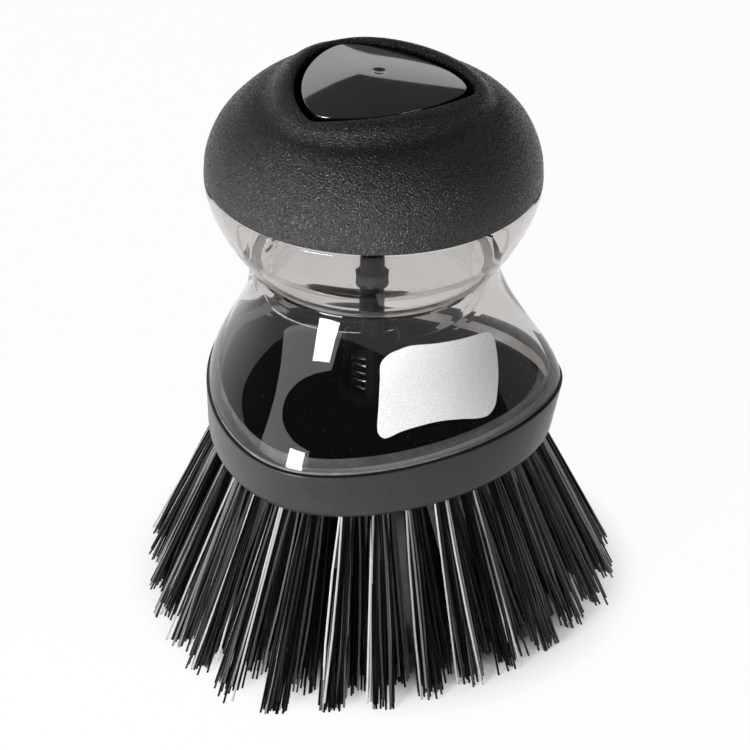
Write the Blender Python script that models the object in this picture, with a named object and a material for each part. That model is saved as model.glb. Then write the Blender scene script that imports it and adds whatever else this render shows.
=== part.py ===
"""Palm brush with a soap tank.

A push button in the domed grip drives a rod down the middle of a clear tank
and opens a poppet valve in the foot, above a skirt of stiff bristles. The grip
and the clear bowl below it unscrew from the tank on a three-start thread.

Metres, +Z up. The bristle tips stand on z = 0, and the origin is the middle of
the footprint. The foot is a rounded triangle with one corner towards +X.
"""
import math

import bmesh
import bpy
from mathutils import Matrix, Vector

MM = 0.001
FULL_TURN = 2 * math.pi

# Clearances
SEAT_GAP = 0.3 * MM
RUN_GAP = 0.3 * MM
OVERRUN = 1.0 * MM
EMBED = 0.3 * MM

# Facets
SEGMENTS = 36
SMALL_SEGMENTS = 20
CORNERS = 3
SMOOTH_ANGLE = math.radians(40)

# Heights of the stack, from the bristle tips up
BRISTLE_DROP = 35.2 * MM
RING_HEIGHT = 10.3 * MM
BELL_HEIGHT = 28.2 * MM
BOWL_HEIGHT = 17.6 * MM
DOME_HEIGHT = 19.15 * MM
RING_LOW_Z = BRISTLE_DROP
RING_TOP_Z = RING_LOW_Z + RING_HEIGHT
NECK_Z = RING_TOP_Z + BELL_HEIGHT
SEAM_Z = NECK_Z + BOWL_HEIGHT
LIP_Z = SEAM_Z + DOME_HEIGHT

# Mean radii of the outlines, and how far their corners stand past the mean
RING_TOP_R = 35.3 * MM
RING_TUCK = 1.2 * MM
RING_LEDGE = 0.5 * MM
NECK_R = 24.0 * MM
SEAM_R = 32.2 * MM
FOOT_PUSH = 2.8 * MM
RING_LOW_PUSH = 1.9 * MM
BUTTON_PUSH_SHARE = 0.12
OPENING_PUSH_SHARE = 0.128
CORNER_ROUND_SHARE = 0.03
AXIS_X = -FOOT_PUSH

# The screwed-down grip stops a little short of the foot's corners
CAP_REST_TURN = math.radians(-11.3)

# Button and its opening in the dome, whose lip dips at its corners
BUTTON_R = 15.4 * MM
BUTTON_GAP = 1.4 * MM
BUTTON_EDGE_DROP = 0.35 * MM
BUTTON_CROWN = 1.5 * MM
BUTTON_WALL = 1.5 * MM
BUTTON_SKIRT = 7.0 * MM
BUTTON_FLANGE = 2.6 * MM
BUTTON_FLANGE_T = 1.2 * MM
BUTTON_EDGE_ROUND = 0.35 * MM
DIMPLE_R = 1.5 * MM
DIMPLE_DEPTH = 0.3 * MM
BUTTON_TRAVEL = 4.0 * MM
LIP_ROUND = 0.6 * MM
LIP_WAVE = 0.7 * MM

# Walls
DOME_WALL = 2.0 * MM
DOME_COLLAR = 1.5 * MM
BOWL_WALL = 1.8 * MM
TONGUE_T = 0.8 * MM
TONGUE_HEIGHT = 2.0 * MM
BOWL_FLOOR = 2.5 * MM
BOWL_FLOOR_RISE = 2.9 * MM
TANK_WALL = 2.2 * MM

# Screw joint at the neck
PLUG_WALL = 1.8 * MM
PLUG_LEAD_IN = 0.3 * MM
THREAD_STARTS = 3
THREAD_SPACING = 3.6 * MM
THREAD_LEAD = THREAD_STARTS * THREAD_SPACING
THREAD_HEIGHT = 0.85 * MM
THREAD_CREST = 0.7 * MM
THREAD_ROOT = 1.2 * MM
THREAD_SWEEP = math.radians(84)
THREAD_STEPS = 10
GASKET_T = 0.9 * MM
GASKET_WIDTH = 1.7 * MM

# Rod, its guide and its wiper
ROD_R = 2.35 * MM
ROD_COLLAR = 0.35 * MM
ROD_COLLAR_LENGTH = 2.8 * MM
ROD_COLLAR_PLACE_SHARE = 0.45
ROD_POINT = 0.5 * MM
GUIDE_WALL = 1.0 * MM
GUIDE_DROP = 3.1 * MM
GUIDE_STUB = 1.5 * MM
GUIDE_CHAMFER = 0.5 * MM
WIPER_WALL = 0.55 * MM
WIPER_LENGTH = 3.1 * MM
WIPER_NIP = 0.4 * MM
BOSS_WALL = 2.65 * MM
BOSS_LENGTH = 8.4 * MM
SOCKET_ROOF = 0.8 * MM

# Springs
RETURN_COIL_GAP = 0.4 * MM
RETURN_WIRE_R = 0.45 * MM
RETURN_CURLS = 8
VALVE_COIL_GAP = 0.4 * MM
VALVE_WIRE_R = 0.45 * MM
VALVE_CURLS = 5
CURL_POINTS = 9
PLACE_STEPS = 40
END_CURL_GAP = 0.5 * MM

# Foot: deck, ring and the pocket for the bristle plates
DECK_DROP = 3.0 * MM
DECK_T = 3.5 * MM
SKIRT_STEP = 0.8 * MM
BASE_GASKET_T = 0.8 * MM
BASE_GROOVE = 0.6 * MM
RING_ROUND = 1.6 * MM
RING_EDGE_ROUND = 0.3 * MM
PLATE_T = 3.0 * MM
POCKET_WALL = 2.1 * MM

# Valve
STEM_R = 1.5 * MM
OUTLET_ROOM = 1.1 * MM
CAGE_ROOM = 1.7 * MM
CAGE_WALL = 1.1 * MM
CAGE_FLANGE = 1.1 * MM
CAGE_FLANGE_T = 1.2 * MM
CAGE_RECESS = 0.9 * MM
CAGE_HEAD = 1.2 * MM
CAGE_WINDOWS = 4
CAGE_WINDOW_WIDTH = 5.4 * MM
POPPET_LAP = 2.6 * MM
POPPET_T = 1.1 * MM
WASHER_INSET = 0.4 * MM
WASHER_T = 0.9 * MM
RETAINER_ROOM = 0.5 * MM
RETAINER_T = 1.8 * MM
RETAINER_DROP = 0.5 * MM
VALVE_SPRING_SPARE = 0.7 * MM

# Bristles: strands in tufts, and tufts in three rows, counted for a third of the foot
ROW_NAMES = ("outer", "middle", "inner")
TUFT_COUNTS = (10, 9, 6)
STRAND_COUNTS = (6, 5, 4)
STRAND_WIDTH = 0.6 * MM
TUFT_R = 1.5 * MM
TUFT_SPLAY_SHARE = 1.9
TIP_FLARE = 16.3 * MM
TIP_FLARE_STEP = 1.0 * MM
PLATE_BORE_ROOM = 9.9 * MM
PLATE_EDGE = 0.7 * MM
TIP_UNEVEN = 1.4 * MM
TUFT_RING_SHARE = 0.66
UNEVEN_SHARES = (0.0, 0.35, 0.0, 0.7, 0.0, 1.0, 0.0)

# Shapes, as shares of the sizes above
BELL_CURVE_SHARE = 0.77
BELL_PUSH_SHARE = 0.49
BELL_LAYERS = 9
BOWL_CURVE_SHARE = 1.7
BOWL_LAYERS = 6
DOME_PROFILE_SHARES = (
    (1.0, 0.0), (0.975, 0.205), (0.885, 0.41), (0.76, 0.568), (0.58, 0.716), (0.435, 0.796),
    (0.3, 0.847), (0.22, 0.9), (0.16, 0.95), (0.09, 0.985), (0.035, 1.0),
)
DOME_BLEND_POWER = 2


def clear_scene():
    for old in list(bpy.data.objects):
        bpy.data.objects.remove(old, do_unlink=True)


def material(name, colour, roughness, metallic=0.0):
    made = bpy.data.materials.new(name)
    made.use_nodes = True
    shader = made.node_tree.nodes["Principled BSDF"]
    shader.inputs["Base Color"].default_value = (*colour[:3], 1.0)
    shader.inputs["Roughness"].default_value = roughness
    shader.inputs["Metallic"].default_value = metallic
    if len(colour) > 3:
        shader.inputs["Alpha"].default_value = colour[3]
    made.diffuse_color = (*colour[:3], colour[3] if len(colour) > 3 else 1.0)
    return made


def axis_point(name, height, parent=None, turn=0.0):
    """An empty on the pump axis that carries the pieces of one moving body."""
    empty = bpy.data.objects.new(name, None)
    bpy.context.collection.objects.link(empty)
    base = parent["height"] if parent else 0.0
    empty["height"] = height
    empty.location = (0.0 if parent else AXIS_X, 0.0, height - base)
    empty.rotation_euler = (0.0, 0.0, turn)
    empty.parent = parent
    return empty


def add_piece(name, mesh, look, carrier):
    """Link a mesh, drawn on the pump axis from the floor up, under its carrier."""
    mesh.transform(Matrix.Translation((0.0, 0.0, -carrier["height"])))
    mesh.shade_smooth()
    mesh.set_sharp_from_angle(angle=SMOOTH_ANGLE)
    mesh.materials.append(look)
    piece = bpy.data.objects.new(name, mesh)
    bpy.context.collection.objects.link(piece)
    piece.parent = carrier
    return piece


def add_tool(name, mesh, target, operation):
    """A hidden solid that is joined to, or cut from, its target."""
    mesh.transform(Matrix.Translation((0.0, 0.0, -target.parent["height"])))
    tool = bpy.data.objects.new(name, mesh)
    bpy.context.collection.objects.link(tool)
    tool.parent = target.parent
    tool.hide_render = True
    tool.display_type = "WIRE"
    step = target.modifiers.new(name, "BOOLEAN")
    step.operation = operation
    step.solver = "EXACT"
    step.object = tool
    return tool


def outline_point(mean, push, angle):
    """A point of a rounded triangle whose outward normal lies at the angle.

    The push draws out the corners, and a small second wave rounds them.
    """
    wave = CORNERS * angle
    rounding = push * CORNER_ROUND_SHARE
    reach = mean + push * math.cos(wave) - rounding * math.cos(2 * wave)
    slope = CORNERS * (2 * rounding * math.sin(2 * wave) - push * math.sin(wave))
    along_x = reach * math.cos(angle) - slope * math.sin(angle)
    along_y = reach * math.sin(angle) + slope * math.cos(angle)
    return Vector((along_x, along_y, 0.0))


def ring(bm, count, mean, push, height, wave=0.0):
    verts = []
    for step in range(count):
        angle = FULL_TURN * step / count
        point = outline_point(mean, push, angle)
        point.z = height - wave * math.cos(CORNERS * angle)
        verts.append(bm.verts.new(point))
    return verts


def loft(name, layers, count=SEGMENTS, hollow=True):
    """Skin rings of (mean radius, corner push, height).

    A fourth number is a wave that lowers a ring's corners and lifts its sides.
    A hollow loft closes its last ring on its first, as a turned section does.
    A solid one has a flat face at each end.
    """
    bm = bmesh.new()
    rings = [ring(bm, count, *layer) for layer in layers]
    pairs = list(zip(rings, rings[1:]))
    if hollow:
        pairs.append((rings[-1], rings[0]))
    else:
        bm.faces.new(rings[0])
        bm.faces.new(rings[-1])
    for low, high in pairs:
        for step in range(count):
            after = (step + 1) % count
            bm.faces.new((low[step], low[after], high[after], high[step]))
    return finish_mesh(name, bm)


def turned(name, section, count=SEGMENTS, hollow=True):
    """A loft of plain circles through a section of (radius, height)."""
    return loft(name, [(radius, 0.0, height) for radius, height in section], count, hollow)


def bell_share(height):
    """1 at the ring's top and 0 at the neck, along the bell's S-curve."""
    rise = min(max((height - RING_TOP_Z) / BELL_HEIGHT, 0.0), 1.0)
    return 0.5 * (1 + math.cos(math.pi * rise ** BELL_CURVE_SHARE))


def bell_layer(height, inset):
    share = bell_share(height)
    mean = NECK_R + (FOOT_R - NECK_R) * share - inset
    return mean, FOOT_PUSH * share ** BELL_PUSH_SHARE, height


def bowl_radius(height):
    rise = min(max((height - NECK_Z) / BOWL_HEIGHT, 0.0), 1.0)
    return SEAM_R - (SEAM_R - NECK_R) * (1 - rise) ** BOWL_CURVE_SHARE


def spread(low, high, count):
    """Evenly spaced heights from low to high, both included."""
    return [low + (high - low) * step / (count - 1) for step in range(count)]


def inset_profile(profile, distance):
    """Move a (radius, height) line inwards, square to itself."""
    moved = []
    for index, (radius, height) in enumerate(profile):
        before = profile[max(index - 1, 0)]
        after = profile[min(index + 1, len(profile) - 1)]
        run = Vector((after[0] - before[0], after[1] - before[1])).normalized()
        moved.append((radius - run.y * distance, height + run.x * distance))
    return moved


def skin_sections(bm, loops):
    """Skin a run of closed sections and cap both ends."""
    corners = len(loops[0])
    for low, high in zip(loops, loops[1:]):
        for side in range(corners):
            after = (side + 1) % corners
            bm.faces.new((low[side], low[after], high[after], high[side]))
    bm.faces.new(loops[0])
    bm.faces.new(loops[-1])


def finish_mesh(name, bm):
    bmesh.ops.recalc_face_normals(bm, faces=bm.faces)
    mesh = bpy.data.meshes.new(name)
    bm.to_mesh(mesh)
    bm.free()
    return mesh


def thread_mesh(name, root_r, crest_r, middle_z, first_angle):
    """One ridge for each start, all on the same right-hand helix."""
    bm = bmesh.new()
    section = (
        (root_r, -THREAD_ROOT / 2), (root_r, THREAD_ROOT / 2),
        (crest_r, THREAD_CREST / 2), (crest_r, -THREAD_CREST / 2),
    )
    for start in range(THREAD_STARTS):
        loops = []
        for step in range(THREAD_STEPS + 1):
            swept = THREAD_SWEEP * (step / THREAD_STEPS - 0.5)
            angle = first_angle + FULL_TURN * start / THREAD_STARTS + swept
            rise = middle_z + THREAD_LEAD * swept / FULL_TURN
            loops.append([
                bm.verts.new((radius * math.cos(angle), radius * math.sin(angle), rise + offset))
                for radius, offset in section
            ])
        skin_sections(bm, loops)
    return finish_mesh(name, bm)


def band_mesh(name, layers, middle_angle):
    """A third of a hollow loft, to both sides of its middle angle, with flat ends."""
    bm = bmesh.new()
    steps = SEGMENTS // CORNERS
    loops = []
    for step in range(steps + 1):
        angle = middle_angle + FULL_TURN / CORNERS * (step / steps - 0.5)
        trim = SEAT_GAP / 2 * ((step == 0) - (step == steps))
        side = Vector((-math.sin(angle), math.cos(angle), 0.0)) * trim
        loop = []
        for mean, push, height in layers:
            point = outline_point(mean, push, angle) + side
            loop.append(bm.verts.new((point.x, point.y, height)))
        loops.append(loop)
    skin_sections(bm, loops)
    return finish_mesh(name, bm)


def box_mesh(name, size, centre, turn=0.0):
    bm = bmesh.new()
    bmesh.ops.create_cube(bm, size=1.0)
    bmesh.ops.scale(bm, vec=size, verts=bm.verts)
    bmesh.ops.rotate(bm, matrix=Matrix.Rotation(turn, 3, "Z"), verts=bm.verts)
    bmesh.ops.translate(bm, vec=centre, verts=bm.verts)
    return finish_mesh(name, bm)


def coil(name, coil_r, wire_r, curls, low, high, look, carrier):
    """A compression spring with one close curl at each end."""
    close = 2 * wire_r + END_CURL_GAP
    bottom = low + wire_r
    top = high - wire_r
    pitch = (top - bottom - 2 * close) / (curls - 2)
    curve = bpy.data.curves.new(name, "CURVE")
    curve.dimensions = "3D"
    curve.bevel_depth = wire_r
    curve.bevel_resolution = 1
    curve.use_fill_caps = True
    spline = curve.splines.new("POLY")
    total = curls * CURL_POINTS
    spline.points.add(total)
    path = []
    for step in range(total + 1):
        turns = step / CURL_POINTS
        if turns <= 1:
            rise = close * turns
        elif turns >= curls - 1:
            rise = close + pitch * (curls - 2) + close * (turns - curls + 1)
        else:
            rise = close + pitch * (turns - 1)
        angle = FULL_TURN * turns
        path.append(Vector((coil_r * math.cos(angle), coil_r * math.sin(angle),
                            bottom + rise - carrier["height"])))
    for point, place in zip(spline.points, path):
        point.co = (*place, 1.0)
    curve.materials.append(look)
    piece = bpy.data.objects.new(name, curve)
    bpy.context.collection.objects.link(piece)
    piece.parent = carrier
    print(name, "least gap to itself, mm:", round(least_gap(path, wire_r) / MM, 3))
    return piece


def least_gap(path, wire_r):
    """Smallest distance between points half a curl or more apart, less the wire."""
    apart = CURL_POINTS // 2
    nearest = min(
        (path[one] - path[two]).length
        for one in range(len(path))
        for two in range(one + apart, len(path))
    )
    return nearest - 2 * wire_r


# Levels shared by pieces of different bodies
FOOT_R = RING_TOP_R - RING_LEDGE
RING_LOW_R = RING_TOP_R - RING_TUCK
DECK_Z = RING_TOP_Z - DECK_DROP
DECK_LOW_Z = DECK_Z - DECK_T
PLATE_TOP_Z = DECK_LOW_Z - SEAT_GAP
PLATE_LOW_Z = PLATE_TOP_Z - PLATE_T
GASKET_GROOVE_Z = DECK_Z - BASE_GROOVE
TANK_LOW_Z = GASKET_GROOVE_Z + BASE_GASKET_T + 2 * SEAT_GAP
TANK_TOP_Z = NECK_Z - SEAT_GAP
SKIRT_R = FOOT_R - SKIRT_STEP
NECK_BORE_R = NECK_R - TANK_WALL
PLUG_R = NECK_BORE_R - THREAD_HEIGHT - RUN_GAP
GASKET_Z = NECK_Z - SEAT_GAP - GASKET_T
THREAD_RISE = THREAD_LEAD * THREAD_SWEEP / FULL_TURN
THREAD_DROP = THREAD_SPACING / 2 - SEAT_GAP
TANK_THREAD_Z = GASKET_Z - SEAT_GAP - THREAD_ROOT - THREAD_RISE / 2
BOWL_THREAD_Z = TANK_THREAD_Z - THREAD_DROP
PLUG_LOW_Z = BOWL_THREAD_Z - (THREAD_RISE + THREAD_ROOT) / 2 - PLUG_LEAD_IN
BOWL_FLOOR_Z = NECK_Z + BOWL_FLOOR_RISE
BOWL_INSIDE_Z = BOWL_FLOOR_Z + BOWL_FLOOR
TONGUE_R = bowl_radius(SEAM_Z - SEAT_GAP) - BOWL_WALL + TONGUE_T
GUIDE_LOW_Z = NECK_Z - GUIDE_DROP
GUIDE_BORE_R = ROD_R + RUN_GAP
GUIDE_R = GUIDE_BORE_R + GUIDE_WALL
WIPER_TOP_Z = GUIDE_LOW_Z - SEAT_GAP
WIPER_LOW_Z = WIPER_TOP_Z - WIPER_LENGTH
RETURN_COIL_R = GUIDE_R + RETURN_COIL_GAP + RETURN_WIRE_R
BUTTON_EDGE_Z = LIP_Z - BUTTON_EDGE_DROP
BUTTON_LOW_Z = BUTTON_EDGE_Z - BUTTON_SKIRT
BUTTON_ROOF_Z = BUTTON_EDGE_Z - BUTTON_WALL
COLLAR_LOW_Z = BUTTON_LOW_Z + BUTTON_FLANGE_T + SEAT_GAP
OPENING_R = BUTTON_R + BUTTON_GAP
BOSS_LOW_Z = BUTTON_ROOF_Z - BOSS_LENGTH
SOCKET_R = ROD_R + SEAT_GAP
ROD_TOP_Z = BUTTON_ROOF_Z - SOCKET_ROOF - SEAT_GAP
ROD_COLLAR_R = ROD_R + ROD_COLLAR
CAGE_BORE_R = ROD_COLLAR_R + CAGE_ROOM
CAGE_R = CAGE_BORE_R + CAGE_WALL
CAGE_FLANGE_R = CAGE_R + CAGE_FLANGE
VALVE_COIL_R = CAGE_BORE_R - VALVE_COIL_GAP - VALVE_WIRE_R
RETAINER_R = CAGE_BORE_R - RETAINER_ROOM
OUTLET_R = STEM_R + OUTLET_ROOM
POPPET_R = OUTLET_R + POPPET_LAP
CAGE_LOW_Z = DECK_Z - CAGE_RECESS + SEAT_GAP
CAGE_FLOOR_Z = CAGE_LOW_Z + CAGE_FLANGE_T
VALVE_SPRING_Z = CAGE_FLOOR_Z + SEAT_GAP
VALVE_SPRING_LENGTH = VALVE_CURLS * 2 * VALVE_WIRE_R + BUTTON_TRAVEL + VALVE_SPRING_SPARE
RETAINER_Z = VALVE_SPRING_Z + VALVE_SPRING_LENGTH + SEAT_GAP
CAGE_TOP_Z = RETAINER_Z + RETAINER_T + CAGE_HEAD
STEM_TOP_Z = RETAINER_Z + RETAINER_T + RETAINER_DROP
ROD_LOW_Z = STEM_TOP_Z + SEAT_GAP
WASHER_Z = DECK_LOW_Z - SEAT_GAP - WASHER_T
POPPET_Z = WASHER_Z - SEAT_GAP - POPPET_T
POCKET_R = RING_LOW_R - POCKET_WALL
PLATE_R = POCKET_R - SEAT_GAP
PLATE_BORE_R = POPPET_R + PLATE_BORE_ROOM
ROW_STEP = (PLATE_R - PLATE_BORE_R) / len(ROW_NAMES)


def make_tank(look, carrier):
    """Clear bell: skirt in the ring, S-shaped wall, neck with inner threads."""
    shoulder_z = RING_TOP_Z + SEAT_GAP
    seat_z = GASKET_Z - SEAT_GAP
    seat_r = PLUG_R + SEAT_GAP + GASKET_WIDTH + SEAT_GAP
    heights = spread(shoulder_z, PLUG_LOW_Z, BELL_LAYERS)
    outer = [bell_layer(height, 0.0) for height in (*heights, (PLUG_LOW_Z + seat_z) / 2)]
    inner = [bell_layer(height, TANK_WALL) for height in reversed(heights[:-1])]
    layers = [
        (SKIRT_R, FOOT_PUSH, TANK_LOW_Z),
        (SKIRT_R, FOOT_PUSH, shoulder_z),
        *outer,
        bell_layer(TANK_TOP_Z, 0.0),
        (seat_r, 0.0, TANK_TOP_Z),
        (seat_r, 0.0, seat_z),
        (NECK_BORE_R, 0.0, seat_z),
        (NECK_BORE_R, 0.0, PLUG_LOW_Z),
        *inner,
        (SKIRT_R - TANK_WALL, FOOT_PUSH, shoulder_z),
        (SKIRT_R - TANK_WALL, FOOT_PUSH, TANK_LOW_Z),
    ]
    tank = add_piece("tank", loft("tank", layers), look, carrier)
    crest = NECK_BORE_R - THREAD_HEIGHT
    ridges = thread_mesh("tank_threads", NECK_BORE_R + EMBED, crest, TANK_THREAD_Z, 0.0)
    add_tool("tank_threads", ridges, tank, "UNION")
    return tank


def make_bowl(look, carrier):
    """Clear bowl: a tongue that fits in the dome, a floor, a threaded plug and the rod's guide."""
    rim_z = SEAM_Z - SEAT_GAP
    outer = [(bowl_radius(height), height) for height in spread(NECK_Z, rim_z, BOWL_LAYERS)]
    inner = [(bowl_radius(height) - BOWL_WALL, height)
             for height in spread(BOWL_INSIDE_Z, rim_z, BOWL_LAYERS - 1)]
    section = [
        (TONGUE_R - TONGUE_T, rim_z + TONGUE_HEIGHT),
        (TONGUE_R, rim_z + TONGUE_HEIGHT),
        (TONGUE_R, rim_z),
        *reversed(outer),
        (PLUG_R, NECK_Z),
        (PLUG_R, PLUG_LOW_Z),
        (PLUG_R - PLUG_WALL, PLUG_LOW_Z),
        (PLUG_R - PLUG_WALL, BOWL_FLOOR_Z),
        (GUIDE_R, BOWL_FLOOR_Z),
        (GUIDE_R, GUIDE_LOW_Z + GUIDE_CHAMFER),
        (GUIDE_R - GUIDE_CHAMFER, GUIDE_LOW_Z),
        (GUIDE_BORE_R, GUIDE_LOW_Z),
        (GUIDE_BORE_R, BOWL_INSIDE_Z + GUIDE_STUB),
        (GUIDE_R, BOWL_INSIDE_Z + GUIDE_STUB),
        (GUIDE_R, BOWL_INSIDE_Z),
        *inner,
    ]
    bowl = add_piece("collar_bowl", turned("collar_bowl", section), look, carrier)
    crest = PLUG_R + THREAD_HEIGHT
    ridges = thread_mesh("bowl_threads", PLUG_R - EMBED, crest, BOWL_THREAD_Z, -CAP_REST_TURN)
    add_tool("bowl_threads", ridges, bowl, "UNION")
    return bowl


def dome_outside():
    """The dome's outside from its rim to the lip, as (radius, height)."""
    lip_r = OPENING_R + LIP_ROUND
    return [
        (lip_r + (SEAM_R - lip_r) * out, SEAM_Z + DOME_HEIGHT * up)
        for out, up in DOME_PROFILE_SHARES
    ]


def dome_layer(radius, height):
    """Round at the rim, and drawn into the opening's waved triangle at the lip."""
    inward = min(max((SEAM_R - radius) / (SEAM_R - OPENING_R), 0.0), 1.0)
    rise = min(max((height - COLLAR_LOW_Z) / (LIP_Z - COLLAR_LOW_Z), 0.0), 1.0)
    blend = inward ** DOME_BLEND_POWER
    return radius, radius * OPENING_PUSH_SHARE * blend, height, LIP_WAVE * blend * rise


def make_dome(look, carrier):
    """Grip shell with a raised lip round the button and a rebate for the bowl's tongue."""
    outside = dome_outside()
    collar_r = OPENING_R + DOME_COLLAR
    rebate_r = TONGUE_R + SEAT_GAP
    rebate_z = SEAM_Z + TONGUE_HEIGHT
    inside = [point for point in inset_profile(outside, DOME_WALL)
              if point[0] > collar_r + DOME_COLLAR and point[1] > rebate_z]
    layers = [
        (rebate_r, 0.0, rebate_z),
        (rebate_r, 0.0, SEAM_Z),
        *[dome_layer(radius, height) for radius, height in outside],
        dome_layer(OPENING_R, LIP_Z - LIP_ROUND),
        dome_layer(OPENING_R, COLLAR_LOW_Z),
        (collar_r, collar_r * OPENING_PUSH_SHARE, COLLAR_LOW_Z),
        (collar_r, collar_r * OPENING_PUSH_SHARE, LIP_Z - DOME_WALL - LIP_ROUND),
        *[dome_layer(radius, height) for radius, height in reversed(inside)],
        (SEAM_R - DOME_WALL, 0.0, rebate_z),
    ]
    return add_piece("grip_dome", loft("grip_dome", layers), look, carrier)


def button_layer(radius, height):
    return radius, radius * BUTTON_PUSH_SHARE, height


def make_button(look, carrier):
    """Crowned three-cornered button: skirt, keeper flange and a rod socket."""
    inner_r = BUTTON_R - BUTTON_WALL
    flange_r = BUTTON_R + BUTTON_FLANGE
    flange_top = BUTTON_LOW_Z + BUTTON_FLANGE_T
    boss_r = SOCKET_R + BOSS_WALL
    crown_z = BUTTON_EDGE_Z + BUTTON_CROWN
    middle_r = BUTTON_R / 2
    middle_z = BUTTON_EDGE_Z + BUTTON_CROWN * (1 - (middle_r / BUTTON_R) ** 2)
    layers = [
        (DIMPLE_R / 2, 0.0, crown_z - DIMPLE_DEPTH),
        (DIMPLE_R, 0.0, crown_z),
        (middle_r, middle_r * BUTTON_PUSH_SHARE / 2, middle_z),
        button_layer(BUTTON_R - BUTTON_EDGE_ROUND, BUTTON_EDGE_Z),
        button_layer(BUTTON_R, BUTTON_EDGE_Z - BUTTON_EDGE_ROUND),
        button_layer(BUTTON_R, flange_top),
        button_layer(flange_r, flange_top),
        button_layer(flange_r, BUTTON_LOW_Z),
        button_layer(inner_r, BUTTON_LOW_Z),
        button_layer(inner_r, BUTTON_ROOF_Z),
        (boss_r, 0.0, BUTTON_ROOF_Z),
        (boss_r, 0.0, BOSS_LOW_Z),
        (SOCKET_R, 0.0, BOSS_LOW_Z),
        (SOCKET_R, 0.0, BUTTON_ROOF_Z - SOCKET_ROOF),
    ]
    mesh = loft("push_button", layers, hollow=False)
    return add_piece("push_button", mesh, look, carrier)


def make_rod(look, carrier):
    """Rod from the button's socket to just above the stem, with a collar in the tank."""
    middle = ROD_LOW_Z + (WIPER_LOW_Z - ROD_LOW_Z) * ROD_COLLAR_PLACE_SHARE
    collar_low = middle - ROD_COLLAR_LENGTH / 2
    collar_z = middle + ROD_COLLAR_LENGTH / 2
    section = [
        (ROD_R - ROD_POINT, ROD_LOW_Z),
        (ROD_R, ROD_LOW_Z + ROD_POINT),
        (ROD_R, collar_low),
        (ROD_COLLAR_R, collar_low + ROD_POINT),
        (ROD_COLLAR_R, collar_z - ROD_POINT),
        (ROD_R, collar_z),
        (ROD_R, ROD_TOP_Z - ROD_POINT),
        (ROD_R - ROD_POINT, ROD_TOP_Z),
    ]
    mesh = turned("push_rod", section, SMALL_SEGMENTS, hollow=False)
    return add_piece("push_rod", mesh, look, carrier)


def make_wiper(look, carrier):
    """Rubber wiper under the guide, gripping round the rod."""
    outer_r = GUIDE_BORE_R + WIPER_WALL
    section = [
        (GUIDE_BORE_R, WIPER_LOW_Z),
        (outer_r - WIPER_NIP, WIPER_LOW_Z),
        (outer_r, WIPER_LOW_Z + WIPER_NIP),
        (outer_r, WIPER_TOP_Z - WIPER_NIP),
        (outer_r - WIPER_NIP / 2, WIPER_TOP_Z),
        (GUIDE_BORE_R, WIPER_TOP_Z),
    ]
    mesh = turned("rod_wiper", section, SMALL_SEGMENTS)
    return add_piece("rod_wiper", mesh, look, carrier)


def flat_ring(name, inner_r, outer_r, low, thickness, push, look, carrier, count=SEGMENTS):
    layers = [
        (inner_r, push, low), (outer_r, push, low),
        (outer_r, push, low + thickness), (inner_r, push, low + thickness),
    ]
    return add_piece(name, loft(name, layers, count), look, carrier)


def make_head(look, carrier):
    """Foot: outer ring, deck that floors the tank, seats and the outlet."""
    groove_out = SKIRT_R + SEAT_GAP
    groove_in = SKIRT_R - TANK_WALL - SEAT_GAP
    recess_r = CAGE_FLANGE_R + SEAT_GAP
    recess_z = DECK_Z - CAGE_RECESS
    low_push = RING_LOW_PUSH
    layers = [
        (RING_LOW_R - RING_ROUND, low_push, RING_LOW_Z),
        (RING_LOW_R, low_push, RING_LOW_Z + RING_ROUND),
        (RING_TOP_R, FOOT_PUSH, RING_TOP_Z - RING_EDGE_ROUND),
        (RING_TOP_R - RING_EDGE_ROUND, FOOT_PUSH, RING_TOP_Z),
        (groove_out, FOOT_PUSH, RING_TOP_Z),
        (groove_out, FOOT_PUSH, GASKET_GROOVE_Z),
        (groove_in, FOOT_PUSH, GASKET_GROOVE_Z),
        (groove_in, FOOT_PUSH, DECK_Z),
        (recess_r, 0.0, DECK_Z),
        (recess_r, 0.0, recess_z),
        (OUTLET_R, 0.0, recess_z),
        (OUTLET_R, 0.0, DECK_LOW_Z),
        (POCKET_R, low_push, DECK_LOW_Z),
        (POCKET_R, low_push, RING_LOW_Z),
    ]
    return add_piece("brush_head", loft("brush_head", layers), look, carrier)


def make_cage(look, carrier):
    """Open guide tower on the deck, with four windows for the soap."""
    section = [
        (OUTLET_R, CAGE_LOW_Z),
        (CAGE_FLANGE_R, CAGE_LOW_Z),
        (CAGE_FLANGE_R, CAGE_FLOOR_Z),
        (CAGE_R, CAGE_FLOOR_Z + CAGE_WALL),
        (CAGE_R, CAGE_TOP_Z - CAGE_WALL / 2),
        (CAGE_R - CAGE_WALL / 2, CAGE_TOP_Z),
        (CAGE_BORE_R, CAGE_TOP_Z),
        (CAGE_BORE_R, CAGE_FLOOR_Z),
        (OUTLET_R, CAGE_FLOOR_Z),
    ]
    cage = add_piece("valve_cage", turned("valve_cage", section, SMALL_SEGMENTS), look, carrier)
    low = CAGE_FLOOR_Z + CAGE_WALL
    size = (2 * (CAGE_R + OVERRUN), CAGE_WINDOW_WIDTH, RETAINER_Z - low)
    centre = (0.0, 0.0, (low + RETAINER_Z) / 2)
    for index in range(CAGE_WINDOWS // 2):
        turn = FULL_TURN * (index + 0.5) / CAGE_WINDOWS
        name = f"cage_window_{index + 1}"
        add_tool(name, box_mesh(name, size, centre, turn), cage, "DIFFERENCE")
    return cage


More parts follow.
